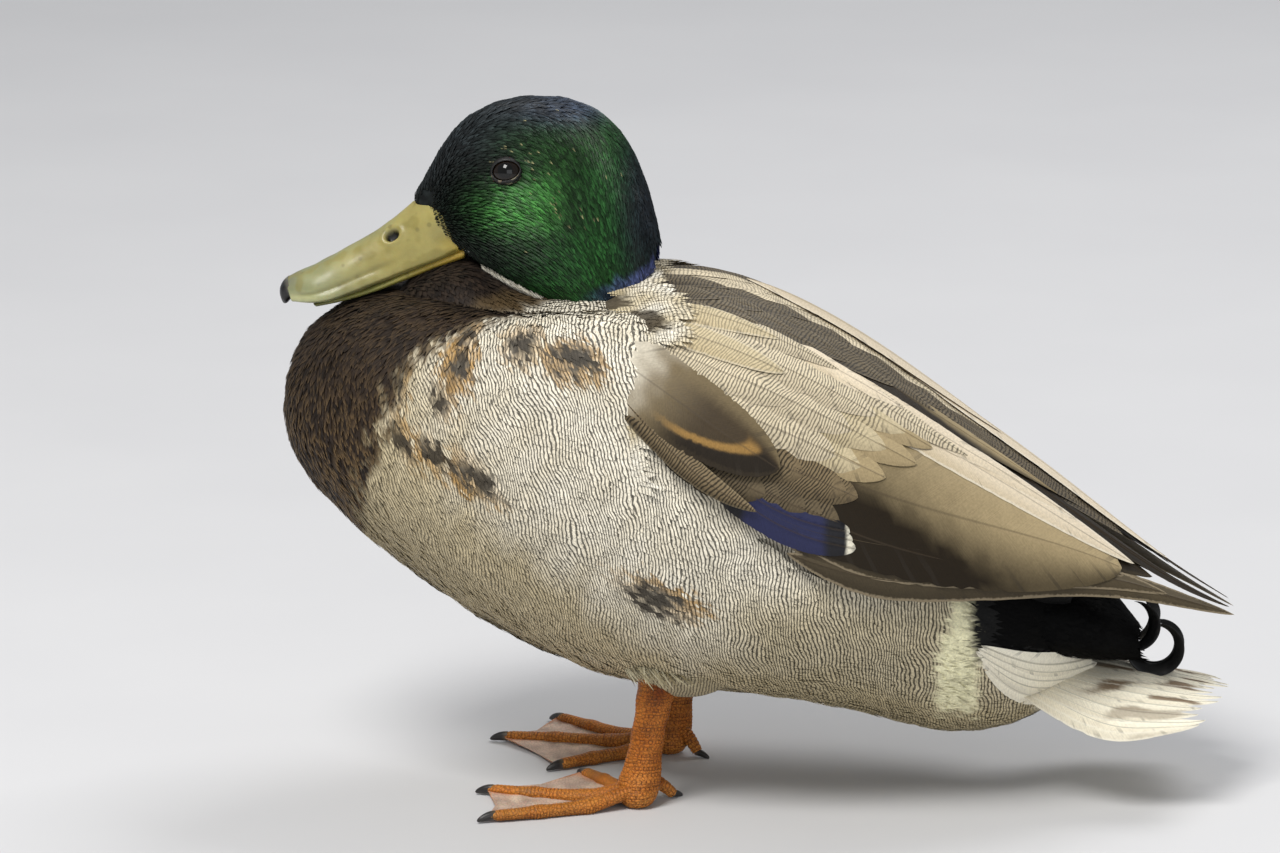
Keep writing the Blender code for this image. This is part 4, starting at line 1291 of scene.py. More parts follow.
@dataclass
class HeadCoat:
    """Short velvety feathers of head and neck, with the thin white collar under them."""

    cut: Cut = Cut(5.0, 0.62, 1, 0.0, -0.9, 0.30, 0.34, 0.35, *SHORT)
    spacing: float = 1.18
    eye: tuple[float, float, float, float] = (-84.0, 217.0, 5.6, 4.4)
    bill_heights: tuple[float, ...] = (184.0, 188.0, 190.0, 193.0, 197.0, 203.0, 207.0, 209.0, 212.0)
    bill_border: tuple[float, ...] = (-130.0, -101.0, -106.0, -109.0, -112.0, -113.0, -112.5, -117.0, -125.0)
    collar_cut: Cut = Cut(5.0, 0.6, 2, 18.0, -0.2, 1.6, 0.3, 0.2, *SHORT)

    def lie(self, along: Array, across: Array) -> Array:
        """Turn of the feathers' lie: straight back from the bill, then more and more downward."""
        fall = 0.15 + 1.25 * eased(0.22, 0.95, along)
        fade = eased(4.0, 40.0, np.abs(across)) * (1.0 - 0.55 * eased(120.0, 165.0, np.abs(across)))
        return fall * fade * np.sign(across)

    def tract(self) -> Tract:
        """The head's feathers, with the eye openings left clear."""
        along, across = scatter(HEAD, (0.004, 0.992), (-180.0, 180.0), self.spacing, 1)
        points = HEAD.at(along, across)
        y, z, long, tall = self.eye
        ahead = 2.0 * np.cos(self.lie(along, across))
        opening = np.hypot((points[:, 1] + ahead - y) / (long + 1.0), (points[:, 2] - 0.8 - z) / tall)
        border = np.interp(points[:, 2], self.bill_heights, self.bill_border)
        under_bill = (points[:, 1] < border + 0.8) & (np.abs(points[:, 0]) > 4.5)
        keep = ((opening > 1.0) | (np.abs(points[:, 0]) < 12.0)) & ~under_bill
        along, across = along[keep], across[keep]
        size = 0.50 + 0.50 * eased(0.0, 0.45, along)
        return grow(HEAD, along, across, self.lie(along, across), size, self.cut, 2)

    def collar(self) -> Tract:
        """White feathers in a thin crescent along the cheeks' lower edge."""
        draw = np.random.default_rng(7)
        along = np.tile(np.linspace(0.15, 0.52, 210), 2)
        turn = np.interp(along, (0.15, 0.25, 0.35, 0.52), (151.0, 150.0, 149.0, 152.0))
        taper = np.maximum(np.sin(np.pi * (along - 0.15) / 0.37), 0.0) ** 0.6
        turn = (turn + taper * draw.uniform(-5.0, 3.0, len(turn))) * np.repeat((1.0, -1.0), 210)
        yaw = np.sign(turn) * 0.25
        return grow(HEAD, along, turn, yaw, 0.5 + 0.5 * taper, self.collar_cut, 8)

    def build(self, green: Material, white: Material) -> list[Draft]:
        """Makes the head's coat, which it returns for the skin's colours, and the collar."""
        tract = self.tract()
        head = tract.dressed(*HeadMarkings().colours(tract))
        shown("head_coat", head, green, crease=FEATHER_CREASE)
        tract = self.collar()
        tint = Shade.WHITE.light * (0.85 + 0.2 * tract.chance)[:, None]
        collar = tract.dressed(tint, np.zeros(len(tint)))
        shown("collar_coat", collar, white, crease=FEATHER_CREASE)
        return [head]


@dataclass
class BodyCoat:
    """Feathers of breast, flanks, belly and tail coverts, in one piece for each area."""

    breast: Cut = Cut(9.5, 0.95, 3, 26.0, -1.5, 0.25, 0.20, 0.7, *SHORT, 0.2)
    flank: Cut = Cut(12.0, 1.35, 4, 30.0, -1.5, 0.10, 0.09, 0.9, (0.0, 0.35, 0.75), (0.7, 1.0, 0.8), 0.10)
    rear: Cut = Cut(12.0, 1.2, 4, 30.0, -1.5, 0.15, 0.12, 0.8, *SHORT, 0.12)
    rear_from: float = 0.745

    def visible(self, points: Array) -> Array:
        """Roots that aren't deep inside the folded wings or under the head."""
        under_wings = ROOF.depth(points) > 7.0
        head_middle = np.hypot(points[:, 0] / 13.0, (points[:, 1] + 66.0) / 20.0)
        under_head = (head_middle < 1.0) & (points[:, 2] > 160.0)
        return ~(under_wings | under_head)

    def area(self, name: str, cut: Cut, spacing: float, wanted: Callable, seed: int, slot: Slot,
             material: Material) -> Draft:
        """Grows one area's feathers and shows them.

        Args:
            name: the piece's name.
            cut: its feathers' cut.
            spacing: distance between roots.
            wanted: function of along, across and points that says which roots belong.
            seed: seed of its random spread.
            slot: its record slot; not used.
            material: its finish.

        Returns:
            The coat, for the skin's colours.
        """
        along, across = scatter(TRUNK, (0.01, 0.995), (-180.0, 180.0), spacing, seed)
        points = TRUNK.at(along, across)
        keep = self.visible(points) & wanted(along, across, points)
        along, across = along[keep], across[keep]
        drift = 0.22 * ripple(TRUNK.at(along, across), 40.0, seed) - 0.12 * np.sign(across)
        tract = grow(TRUNK, along, across, drift, np.ones(len(along)), cut, seed)
        draft = tract.dressed(*TrunkMarkings().colours(tract))
        shown(name, draft, material, crease=FEATHER_CREASE)
        return draft

    def build(self, soft: Material, black: Material) -> list[Draft]:
        """Makes every area of the trunk's coat."""
        marks = TrunkMarkings()

        def on_breast(along: Array, across: Array, points: Array) -> Array:
            """Roots of the breast and a little past its border."""
            return (marks.breast(along, across, points) > 0.4) & (along < 0.6)

        def on_flank(side: float) -> Callable:
            """Roots of one flank and half the belly."""
            return lambda along, across, points: ((marks.breast(along, across, points) <= 0.4)
                                                  & (along < self.rear_from) & (across * side > 0.0))

        def on_coverts(along: Array, across: Array, points: Array) -> Array:
            """Roots of the black tail coverts."""
            behind = (points[:, 1] > 77.0) & (side_height(points) > marks.black_level + 3.0)
            return behind & (along >= self.rear_from)

        def on_rear(along: Array, across: Array, points: Array) -> Array:
            """Roots of the band, vent and the white sides of the tail's root."""
            return (along >= self.rear_from) & ~on_coverts(along, across, points)

        rows = (
            ("breast_coat", self.breast, 2.5, on_breast, 11, Slot.BREAST, soft),
            ("flank_coat_left", self.flank, 3.5, on_flank(1.0), 12, Slot.WHITE, soft),
            ("flank_coat_right", self.flank, 3.5, on_flank(-1.0), 13, Slot.WHITE, soft),
            ("rear_coat", self.rear, 3.3, on_rear, 14, Slot.WHITE, soft),
            ("tail_covert_coat", self.rear, 3.3, on_coverts, 14, Slot.BLACK, black),
        )
        return [self.area(*row) for row in rows] + [self.throat(soft), self.rump(black)]

    def throat(self, material: Material) -> Draft:
        """Feathers round the foot of the neck: brown in front, olive along the border, then finely barred."""
        along, across = scatter(THROAT, (0.02, 0.98), (-125.0, 125.0), 2.3, 19)
        yaw = np.sign(across) * 1.1 * eased(5.0, 50.0, np.abs(across))
        cut = Cut(8.5, 0.95, 3, 26.0, -1.4, 0.35, 0.14, 0.3, *SHORT, 0.1)
        tract = grow(THROAT, along, across, yaw, np.ones(len(along)), cut, 19)
        points = tract.points
        border = np.interp(points[:, 1], (-110.0, -99.0, -85.0, -73.0, -60.0),
                           (153.5, 159.0, 164.0, 168.5, 173.0))
        over = side_height(points) - border + 1.2 * ripple(points, 8.0, 20)
        pale = eased(2.0, -2.0, over)
        olive = eased(9.0, 4.0, over) * eased(-3.0, 0.0, over)
        tint = layered(Shade.CHESTNUT, (Shade.CHESTNUT_DARK, tract.plume), (Shade.SILVER, pale),
                       (Shade.OLIVE_BROWN, olive * 0.8))
        draft = tract.dressed(tint * (0.9 + 0.2 * tract.chance)[:, None], pale * (1.0 - 0.6 * olive))
        shown("throat_coat", draft, material, crease=FEATHER_CREASE)
        return draft

    def rump(self, black: Material) -> Draft:
        """Black coverts over the tail's root, on the blunt block behind the trunk."""
        along, across = scatter(RUMP, (0.02, 0.98), (-180.0, 180.0), 3.0, 15)
        cut = Cut(10.0, 1.3, 4, 40.0, -1.4, 0.4, 0.2, 0.4, *SHORT)
        straight = np.zeros(len(along))
        tract = grow(RUMP, along, across, straight, straight + 1.0, cut, 15)
        tint = Shade.SOOT.light * (0.7 + 0.6 * tract.chance)[:, None]
        draft = tract.dressed(tint, np.zeros(len(tint)))
        shown("rump_coat", draft, black, ("rump_coverts",), FEATHER_CREASE)
        return draft


RUMP = FanSurface((0, 0.4, 0.75, 1), ((86, 82), (114, 74), (123, 68), (129, 61)),
                  ((80, 50), (110, 47.5), (121, 46.5), (128.4, 46)), (33, 26, 21, 13), 2.4)


# ---- large feathers ----------------------------------------------------------------------


class Pattern(Enum):
    """How a large feather is marked, apart from its plain base and dark."""

    PLAIN = "plain"
    MARKED = "marked"
    MIRROR = "mirror"
    TAIL = "tail"


@dataclass(frozen=True)
class Look:
    """Colours of a large feather.

    Attributes:
        base: main colour.
        dark: colour toward the root and the lower vane.
        edge: colour of the rim.
        root_dark: strength of the dark at the root.
        low_dark: strength of the dark on the lower vane.
        fringe: strength of the rim.
        bars: strength of the wavy cross lines.
        bars_end: share of the length where those lines fade out.
        pattern: further marks.
    """

    base: Shade
    dark: Shade
    edge: Shade
    root_dark: float = 0.4
    low_dark: float = 0.2
    fringe: float = 0.6
    bars: float = 0.0
    bars_end: float = 2.0
    pattern: Pattern = Pattern.PLAIN


@dataclass(frozen=True)
class Quill:
    """One large feather laid from root to tip in its surface's own two parameters.

    Attributes:
        root: first and second parameter of the root.
        tip: the same of the tip.
        bow: how far the middle line bulges away from the ridge, in the second parameter.
        upper: half width of the vane on the ridge side, in millimetres.
        lower: half width of the other vane.
        level: height of the tip over the surface.
        look: its colours.
        point: 0 for a round tip, 1 for a drawn-out one.
        sink: how far the root lies below the tip's level.
        taper: share of the length over which the vane widens from its root.
    """

    root: tuple[float, float]
    tip: tuple[float, float]
    bow: float
    upper: float
    lower: float
    level: float
    look: Look
    point: float = 0.2
    sink: float = 1.1
    taper: float = 0.24


def vane_section(columns: int) -> Array:
    """Section of a vane: a shallow dome with a raised shaft above, and a nearly flat underside."""
    count = columns // 2
    outer = np.linspace(1.0, 0.06, count) ** 0.9
    half = np.stack((outer, 0.75 * (1.0 - outer ** 2)), axis=-1)
    top = np.concatenate((half, ((0.0, 1.35),), (half * (-1.0, 1.0))[::-1]))
    below = np.array(((-0.55, 0.25), (0.0, 0.35), (0.55, 0.25)))
    return np.concatenate((top, below))


@dataclass
class QuillSet:
    """A group of large feathers made together on one surface."""

    surface: Surface
    quills: list[Quill]
    side: float = 1.0
    rows: int = 46
    columns: int = 13
    thickness: float = 0.5
    seed: int = 1
    cells: int = 8

    def column(self, name: str, place: int | None = None) -> Array:
        """One number of every quill, as a column to spread over its rows."""
        read = [getattr(quill, name) for quill in self.quills]
        return np.array(read if place is None else [pair[place] for pair in read], float)[:, None]

    def outline(self, share: Array) -> Array:
        """Half width against its greatest, from root to tip: a quick swell, then a round or drawn-out end."""
        point = self.column("point")
        swell = np.sin(np.clip(share / self.column("taper"), 0.0, 1.0) * np.pi / 2.0) ** 0.75
        end = np.clip((share - 0.42) / 0.58, 0.0, 1.0) ** (2.9 - 1.5 * point)
        return swell * np.maximum(1.0 - end, 0.0) ** (0.52 + 0.36 * point)

    def draft(self) -> Draft:
        """Every quill as closed vanes with their colours and point values."""
        draw = np.random.default_rng(self.seed)
        count = len(self.quills)
        section = vane_section(self.columns)
        share = 1.0 - (1.0 - np.linspace(0.0, 1.0, self.rows + 1)) ** 1.15
        share = np.broadcast_to(share, (count, self.rows + 1))
        along, across = (self.column("root", n) + (self.column("tip", n) - self.column("root", n)) * share
                         for n in (0, 1))
        across = (across + self.column("bow") * np.sin(np.pi * share)) * self.side
        outline = self.outline(share)
        grain = np.stack((share * 60.0, share * 0.0 + np.arange(count)[:, None] * 9.0, share * 0.0), axis=-1)
        ragged = 1.0 - 0.05 * outline * np.maximum(ripple(grain, 2.2, self.seed), 0.0)
        vanes = [self.column(name) * outline * ragged for name in ("upper", "lower")]
        positive, negative = vanes if self.side > 0 else vanes[::-1]
        wander = draw.normal(0.0, 0.05, (count, 1))
        lift = self.column("level") - self.column("sink") * (1.0 - share) ** 1.5 + wander
        thick = self.thickness * np.minimum(1.0, 0.35 + 1.2 * outline)
        points = sweep(self.surface, along, across, positive, negative, lift, thick, section)
        sides = len(section)
        each = self.rows * sides + 1
        tip = points[:, self.rows, :self.columns].mean(axis=1)[:, None]
        every = np.concatenate((points[:, :self.rows].reshape(count, -1, 3), tip), axis=1).reshape(-1, 3)
        faces = ring_faces(self.rows, sides)[None] + (np.arange(count) * each)[:, None, None]

        def laid(numbers: Array, end: float | Array) -> Array:
            """Numbers on rows and sides with the tip's own number last, point by point."""
            wide = np.broadcast_to(numbers, (count, self.rows, sides)).reshape(count, -1)
            return np.concatenate((wide, np.broadcast_to(end, (count, 1))), axis=1).ravel()

        lateral = section[:, 0] * np.sign(self.side)
        row_share, row_outline = share[:, :self.rows, None], outline[:, :self.rows, None]
        shafts = points[:, :, self.columns // 2]
        length = np.linalg.norm(np.diff(shafts, axis=1), axis=-1).sum(axis=1)[:, None, None]
        width = np.where(lateral > 0, self.column("upper")[..., None], self.column("lower")[..., None])
        away = np.abs(lateral)
        out = away * width * row_outline
        barb = row_share * length - 0.9 * out + np.arange(count)[:, None, None] * 170.0
        flat_share, flat_side = laid(row_share, 1.0), laid(lateral, 0.0)
        number = np.repeat(np.arange(count), each)
        tint, bars, fringe = self.marks(every, flat_share, flat_side, number, draw.random(count))
        edge = np.stack([quill.look.edge.light for quill in self.quills])[number]
        values = {
            "Bars": bars, "Fringe": fringe, "Barb": laid(barb, length[:, 0]),
            "Rim": laid(1.0 - row_outline * (1.0 - away), 1.0),
            "Shaft": laid(1.0 - np.clip(out / 1.4, 0.0, 1.0), 0.0),
        }
        cell = np.stack((number % self.cells, number // self.cells), axis=-1) / self.cells
        inside = np.stack((flat_side * 0.46 + 0.5, flat_share * 0.94 + 0.03), axis=-1) / self.cells
        vane = np.stack((flat_side * 0.5 + 0.5, flat_share), axis=-1)
        return Draft(every, faces.reshape(-1, 4), tint, values, vane, cell + inside, edge)

    def marks(self, points: Array, share: Array, side: Array, number: Array,
              chance: Array) -> tuple[Array, Array, Array]:
        """Tint, line strength and rim strength at every point.

        Args:
            points: places.
            share: share from root to tip.
            side: sideways share, positive toward the ridge.
            number: which quill a point belongs to.
            chance: one random number for each quill.

        Returns:
            The three arrays.
        """
        tint = np.zeros((len(points), 3))
        bars = np.zeros(len(points))
        looks = [quill.look for quill in self.quills]
        fringe = np.array([look.fringe * (look.pattern is not Pattern.MIRROR) for look in looks])[number]
        for index, look in enumerate(looks):
            mine = number == index
            a, c, place = share[mine], side[mine], points[mine]
            rough = 0.03 * ripple(place, 9.0, 71)
            dim = look.root_dark * (1.0 - eased(0.12, 0.84, a + rough)) * (0.2 + 0.8 * eased(0.9, -0.7, c))
            dim = dim + look.low_dark * eased(-0.15, 1.0, -c + rough)
            own = layered(look.base, (look.dark, np.clip(dim, 0.0, 1.0)))
            line = look.bars * (1.0 - eased(look.bars_end - 0.12, look.bars_end + 0.12, a + rough))
            if look.pattern is Pattern.MARKED:
                own, line = self.marked(a, c, rough), 0.25
            elif look.pattern is Pattern.MIRROR:
                own = self.mirror(place, rough)
            elif look.pattern is Pattern.TAIL:
                own = self.tail(own, place, a)
            tint[mine] = own * (0.93 + 0.14 * chance[index])
            bars[mine] = line
        return tint, bars, fringe

    def marked(self, share: Array, side: Array, rough: Array) -> Array:
        """A leftover summer feather: pale root, olive brown vane, and a rusty arc above a dark rim."""
        away = np.hypot((share - 0.42) / 0.56, (side - 0.25) / 1.15) + 0.12 * rough
        low = eased(0.55, 0.1, side) * eased(0.34, 0.60, share)
        return layered(
            Shade.SUMMER_ROOT, (Shade.SUMMER, eased(0.06, 0.40, share + rough)),
            (Shade.SUMMER_DARK, eased(0.30, 0.62, share) * eased(0.95, 0.35, side) * 0.9),
            (Shade.RUST, low * eased(0.66, 0.72, away) * eased(0.86, 0.80, away) * 0.7),
            (Shade.SUMMER_RIM, low * eased(0.80, 0.88, away) * 0.9))

    def mirror(self, place: Array, rough: Array) -> Array:
        """The wing's blue mirror: white, black, blue, black and white from front to rear."""
        along = place[:, 1] + 10.0 * rough
        return layered(
            Shade.MIRROR_FRONT, (Shade.MIRROR_BLACK, eased(-9.5, -8.5, along)),
            (Shade.SPECULUM, eased(-2.0, 1.0, along)), (Shade.MIRROR_REAR, eased(25.0, 29.0, along)),
            (Shade.MIRROR_WHITE, eased(33.6, 34.6, along)))

    def tail(self, own: Array, place: Array, share: Array) -> Array:
        """Creamy tail feather with brown smudges along its inner half."""
        smudge = eased(0.30, 0.62, ripple(place * (1.5, 0.34, 1.5), 9.0, 81)) * eased(0.25, 0.5, share)
        smudge = smudge * (1.0 - 0.6 * eased(18.0, 34.0, np.abs(place[:, 0]))) * eased(0.98, 0.88, share)
        return layered(own, (Shade.TAIL_MARK, 0.9 * smudge))


def feathers(*rows: tuple) -> list[Quill]:
    """Quills from rows of: root and tip, two numbers each, then a quill's other fields in order."""
    return [Quill(row[:2], row[2:4], *row[4:]) for row in rows]


@dataclass
class FoldedWing:
    """One folded wing: shoulder feathers, scapulars, tertials, blue mirror and primaries."""

    side: float

    PALE = Look(Shade.SCAPULAR, Shade.SCAPULAR_DARK, Shade.PALE_TAN, 0.15, 0.25, 0.1, 0.9)
    DUSKY = Look(Shade.SCAPULAR_DARK, Shade.UMBER_DARK, Shade.SCAPULAR_DARK, 0.2, 0.4, 0.0, 1.2, 0.9)
    SHADED = Look(Shade.UMBER, Shade.UMBER_DARK, Shade.UMBER, 0.3, 0.6, 0.0, 1.1, 0.9)
    REAR = Look(Shade.OATMEAL, Shade.SCAPULAR_DARK, Shade.TAN, 0.15, 0.3, 0.0, 0.85, 0.86)
    LAST = Look(Shade.TAN, Shade.SCAPULAR_DARK, Shade.TAN, 0.1, 0.3, 0.0, 0.8, 0.66)
    BUFF = Look(Shade.OATMEAL, Shade.TAN, Shade.SILVER, 0.4, 0.3, 0.25, 0.7)
    CREAMY = Look(Shade.PALE_TAN, Shade.TAN, Shade.SILVER, 0.6, 0.3, 0.2, 0.3)
    TERTIAL = Look(Shade.TAN, Shade.UMBER_DARK, Shade.PALE_TAN, 1.75, 0.8, 0.0, 0.6, 0.3)
    TERTIAL_PALE = Look(Shade.PALE_TAN, Shade.TAN, Shade.WHITE, 0.45, 0.35, 0.35)
    PRIMARY = Look(Shade.SLATE, Shade.UMBER_DARK, Shade.SLATE_EDGE, 0.3, 0.3, 0.45)
    DARK = Look(Shade.UMBER_DARK, Shade.SOOT, Shade.UMBER, 0.5, 0.3, 0.2)
    BORDER = Look(Shade.SCAPULAR_DARK, Shade.UMBER_DARK, Shade.OATMEAL, 0.0, 0.7, 0.1, 1.1)
    MARKED = Look(Shade.UMBER, Shade.UMBER_DARK, Shade.UMBER, 0.2, 0.2, 0.1, 0.2, 2.0, Pattern.MARKED)
    MIRROR = Look(Shade.SPECULUM, Shade.SOOT, Shade.WHITE, 0.2, 0.2, 0.0, 0.0, 2.0, Pattern.MIRROR)

    # Each row of scapulars: turns of roots and tips, places of the roots, length and look.
    SCAPULARS = (
        (66.0, 73.5, (-28, -21, -14, -8, -3), 35.0, SHADED),
        (57.0, 64.5, (-36, -29, -21, -13, -7, -3), 41.0, DUSKY),
        (48.0, 55.0, (-40, -32, -24, -15, -6, 1), 46.0, PALE),
        (38.0, 45.0, (-41, -32, -22, -12, -1, 9), 48.0, PALE),
        (29.0, 35.0, (-41, -31, -20, -9, 2, 10), 52.0, PALE),
    )
    SHOULDER = feathers(
        (-40, 23, 10, 25, 1.0, 5.0, 7.0, 0.00, BUFF, 0.8, 1.8),
        (-26, 23, 30, 25, 1.0, 5.0, 7.0, -0.06, PALE, 0.8, 1.6),
        (-8, 23, 52, 25, 1.0, 5.5, 8.0, -0.12, CREAMY, 0.9, 1.6),
        (10, 26, 74, 29, 1.5, 8.0, 8.0, -0.25, PALE, 0.9),
        (24, 24, 92, 26, 1.0, 7.0, 8.0, -0.32, CREAMY, 0.9),
        (-39, 32, 12, 37, 1.0, 5.5, 6.5, 0.25, BUFF, 0.35, 1.8),
        (-47, 58, 4, 78.5, 4.8, 4.4, 4.4, 1.25, BORDER, 0.6, 0.1))
    SUMMER = {
        "left": feathers((-50, 47, 11, 66, 2.5, 12.5, 13.5, 1.5, MARKED, 0.25, 0.1)),
        "right": feathers((-44, 40, 8, 51, 2.5, 10.5, 11.0, 1.5, MARKED, 0.25, 0.1)),
    }
    UNDER = feathers(
        (50, 12, 164, 34, -3.0, 5.0, 5.0, -1.0, DARK, 0.6),
        (30, 10, 148, 24, 0.0, 5.5, 6.0, -0.9, DARK, 0.6),
        (20, 24, 144, 26, 0.0, 9.0, 9.0, -1.7, DARK, 0.7),
        (14, 40, 138, 38, 2.0, 12.0, 14.0, -1.9, DARK, 0.5),
        (-10, 62, 112, 60, 6.0, 15.0, 12.0, -1.7, DARK, 0.4),
        (-20, 68, 70, 76, 2.0, 11.0, 8.0, -1.5, DARK, 0.2))
    TERTIALS = feathers(
        (-18, 61, 127, 50, 4.5, 26.5, 25.0, -0.95, TERTIAL, 0.25),
        (0, 36, 131, 38.5, -6.0, 11.0, 9.0, -0.62, TERTIAL_PALE, 0.55),
        (10, 27, 111, 27.5, -1.0, 7.0, 8.0, -0.45, TERTIAL_PALE, 0.7),
        (18, 16, 104, 15, 0.5, 5.0, 7.0, -0.5, TERTIAL, 0.8))
    # The topmost tertials of the right wing lie over the ridge.
    OVER = {
        "left": [],
        "right": feathers((12, 8, 142, 5, 0.0, 9.0, 11.0, 0.55, TERTIAL_PALE, 0.7),
                          (-4, 6, 84, 5, 0.0, 9.0, 10.0, 0.8, CREAMY, 0.7)),
    }
    SECONDARIES = feathers(
        (-13, 74, 37.5, 79, 3.2, 5.4, 5.4, -1.35, MIRROR, 0.0, 0.5),
        (-14, 72.5, 36.5, 77, 3.2, 5.4, 5.4, -1.23, MIRROR, 0.0, 0.5),
        (-14, 71, 35.5, 75, 3.2, 5.4, 5.4, -1.11, MIRROR, 0.0, 0.5))
    PRIMARIES = feathers(
        (14, 86, 166, 50, 12.0, 6.2, 6.2, -2.2, PRIMARY, 0.35, 0.5),
        (14, 83.5, 157, 58, 9.5, 6.2, 6.2, -1.95, PRIMARY, 0.35, 0.5),
        (16, 81, 143, 58.5, 7.5, 6.2, 6.2, -1.7, PRIMARY, 0.35, 0.5),
        (18, 78, 128, 57, 4.5, 6.2, 6.2, -1.45, PRIMARY, 0.35, 0.5))

    def scapulars(self) -> list[Quill]:
        """Five rows over the shoulder, each lying on the one below it, the pale ones tan at the rear."""
        quills = []
        ends = {-1: self.LAST, -2: self.REAR}
        for row, (start, end, roots, length, look) in enumerate(self.SCAPULARS):
            for place, root in enumerate(roots):
                level = -1.0 + 0.20 * row - 0.05 * place
                end_at = end - 0.10 * max(root, 0.0) * (row < 3)
                own = ends.get(place - len(roots), look) if look is self.PALE else look
                quills.append(Quill((root, start), (root + length, end_at), 2.0, 9.5, 9.5, level, own, 0.55,
                                    1.6))
        return quills

    def build(self, finishes: dict[str, Material]) -> list[Draft]:
        """Makes the wing's pieces.

        Args:
            finishes: materials by name.

        Returns:
            The drafts, for the skin's colours.
        """
        word = side_word(self.side)
        seed = 3 if self.side > 0 else 4
        groups = (
            ("scapulars_", self.scapulars() + self.SHOULDER, "scapular", Slot.WHITE, 46, 15),
            ("tertials_", self.UNDER + self.TERTIALS + self.OVER[word], "vane", Slot.TERTIAL, 60, 17),
            ("speculum_", self.SECONDARIES, "mirror", Slot.SPECULUM, 60, 11),
            ("primaries_", self.PRIMARIES, "vane", Slot.PRIMARY, 60, 11),
            ("summer_feather_", self.SUMMER[word], "vane", Slot.TERTIAL, 110, 43),
        )
        drafts = []
        for prefix, quills, finish, slot, rows, columns in groups:
            draft = QuillSet(ROOF, quills, self.side, rows, columns, 0.42, seed).draft()
            extra = prefix == "summer_feather_"
            shown((prefix if extra else prefix + "feathers_") + word, draft, finishes[finish],
                  () if extra else (prefix + word,), FEATHER_CREASE)
            drafts.append(draft)
        return drafts


@dataclass
class Mantle:
    """Dark, pale-fringed feathers down the back's middle, and shoulder feathers over the wings' roots."""

    dusky: Look = Look(Shade.MANTLE, Shade.MANTLE_DARK, Shade.MANTLE_FRINGE, 0.7, 0.6, 0.12, 0.9)
    # pale: the middle rows' look; its lightness is painted highlight along the ridge
    pale: Look = Look(Shade.SCAPULAR, Shade.MANTLE, Shade.PALE_TAN, 0.35, 0.0, 0.3, 0.7)
    step: float = 7.5
    blots: tuple[tuple[float, ...], ...] = ((-46.0, 25.0, 6.0, 5.0), (-35.0, 33.0, 8.0, 6.4),
                                            (-38.0, -34.0, 6.5, 6.0))

    def quills(self) -> list[Quill]:
        """Staggered rows from the nape to the rump, rear rows lowest, paler along the middle as painted
        highlight on the ridge.
        """
        draw = np.random.default_rng(9)
        quills = []
        for row, start in enumerate(np.arange(-46.0, 92.0, self.step)):
            reach = 24.0 - 0.12 * (start + 46.0)
            for place in np.arange(-3.0, 3.5, 1.0) + (0.5 if row % 2 else 0.0):
                turn = place * reach / 3.0
                if abs(turn) <= reach + 1.0:
                    # painted highlight: the feathers along the ridge take the pale look for the sky light
                    # that falls there
                    look = self.pale if abs(turn) < 6.5 - 0.05 * (start + 46.0) else self.dusky
                    away = draw.uniform(-2.5, 2.5, 2)
                    level = -0.55 + 0.05 * draw.normal()
                    quills.append(Quill((start + away[0], turn), (start + 36.0 + away[1], turn * 0.97), 0.0,
                                        6.4, 6.4, level, look, 0.75, 1.6))
        return quills

    def build(self, material: Material, soft: Material) -> list[Draft]:
        """Makes the mantle and the shoulder coat."""
        draft = QuillSet(ROOF, self.quills(), 1.0, 16, 9, 0.3, 5, 14).draft()
        shown("mantle_feathers", draft, material, ("mantle",), FEATHER_CREASE)
        shoulder = self.shoulder()
        dressed = shoulder.dressed(*self.shoulder_colours(shoulder))
        shown("shoulder_coat", dressed, soft, crease=FEATHER_CREASE)
        return [draft, dressed]

    def shoulder(self) -> Tract:
        """Small feathers that run from the trunk on to the front of the folded wings."""
        along, across = scatter(ROOF, (-50.0, -28.0), (-84.0, 84.0), 2.5, 16)
        turn = np.abs(across)
        limit = -31.0 - 10.0 * eased(34.0, 44.0, turn) - 10.0 * eased(26.0, 10.0, turn)
        keep = along < limit + 2.5 * ripple(ROOF.at(along, across), 5.0, 18)
        along, across = along[keep], across[keep]
        cut = Cut(12.5, 1.3, 4, 36.0, -1.2, 0.9, 0.09, 0.3, (0.0, 0.35, 0.75), (0.7, 1.0, 0.7), 0.12)
        return grow(ROOF, along, across, np.zeros(len(along)), np.ones(len(along)), cut, 17)

    def shoulder_colours(self, tract: Tract) -> tuple[Array, Array]:
        """Silvery and finely barred, with two dark blots on the left and one on the right."""
        tint = layered(Shade.SILVER, (Shade.OATMEAL, 0.5 + 0.5 * ripple(tract.points, 16.0, 41)))
        bars = np.full(len(tint), 0.8)
        rough = 0.2 * ripple(tract.points, 4.0, 31)
        for place, turn, long, wide in self.blots:
            away = np.hypot((tract.along - place) / long, (tract.across - turn) * 1.2 / wide) + rough
            dark = 1.0 - eased(0.75, 1.05, away)
            tint = layered(tint, (Shade.BLOT, dark * 0.92))
            bars = bars * (1.0 - 0.8 * dark)
        return tint * (0.9 + 0.2 * tract.chance)[:, None], bars


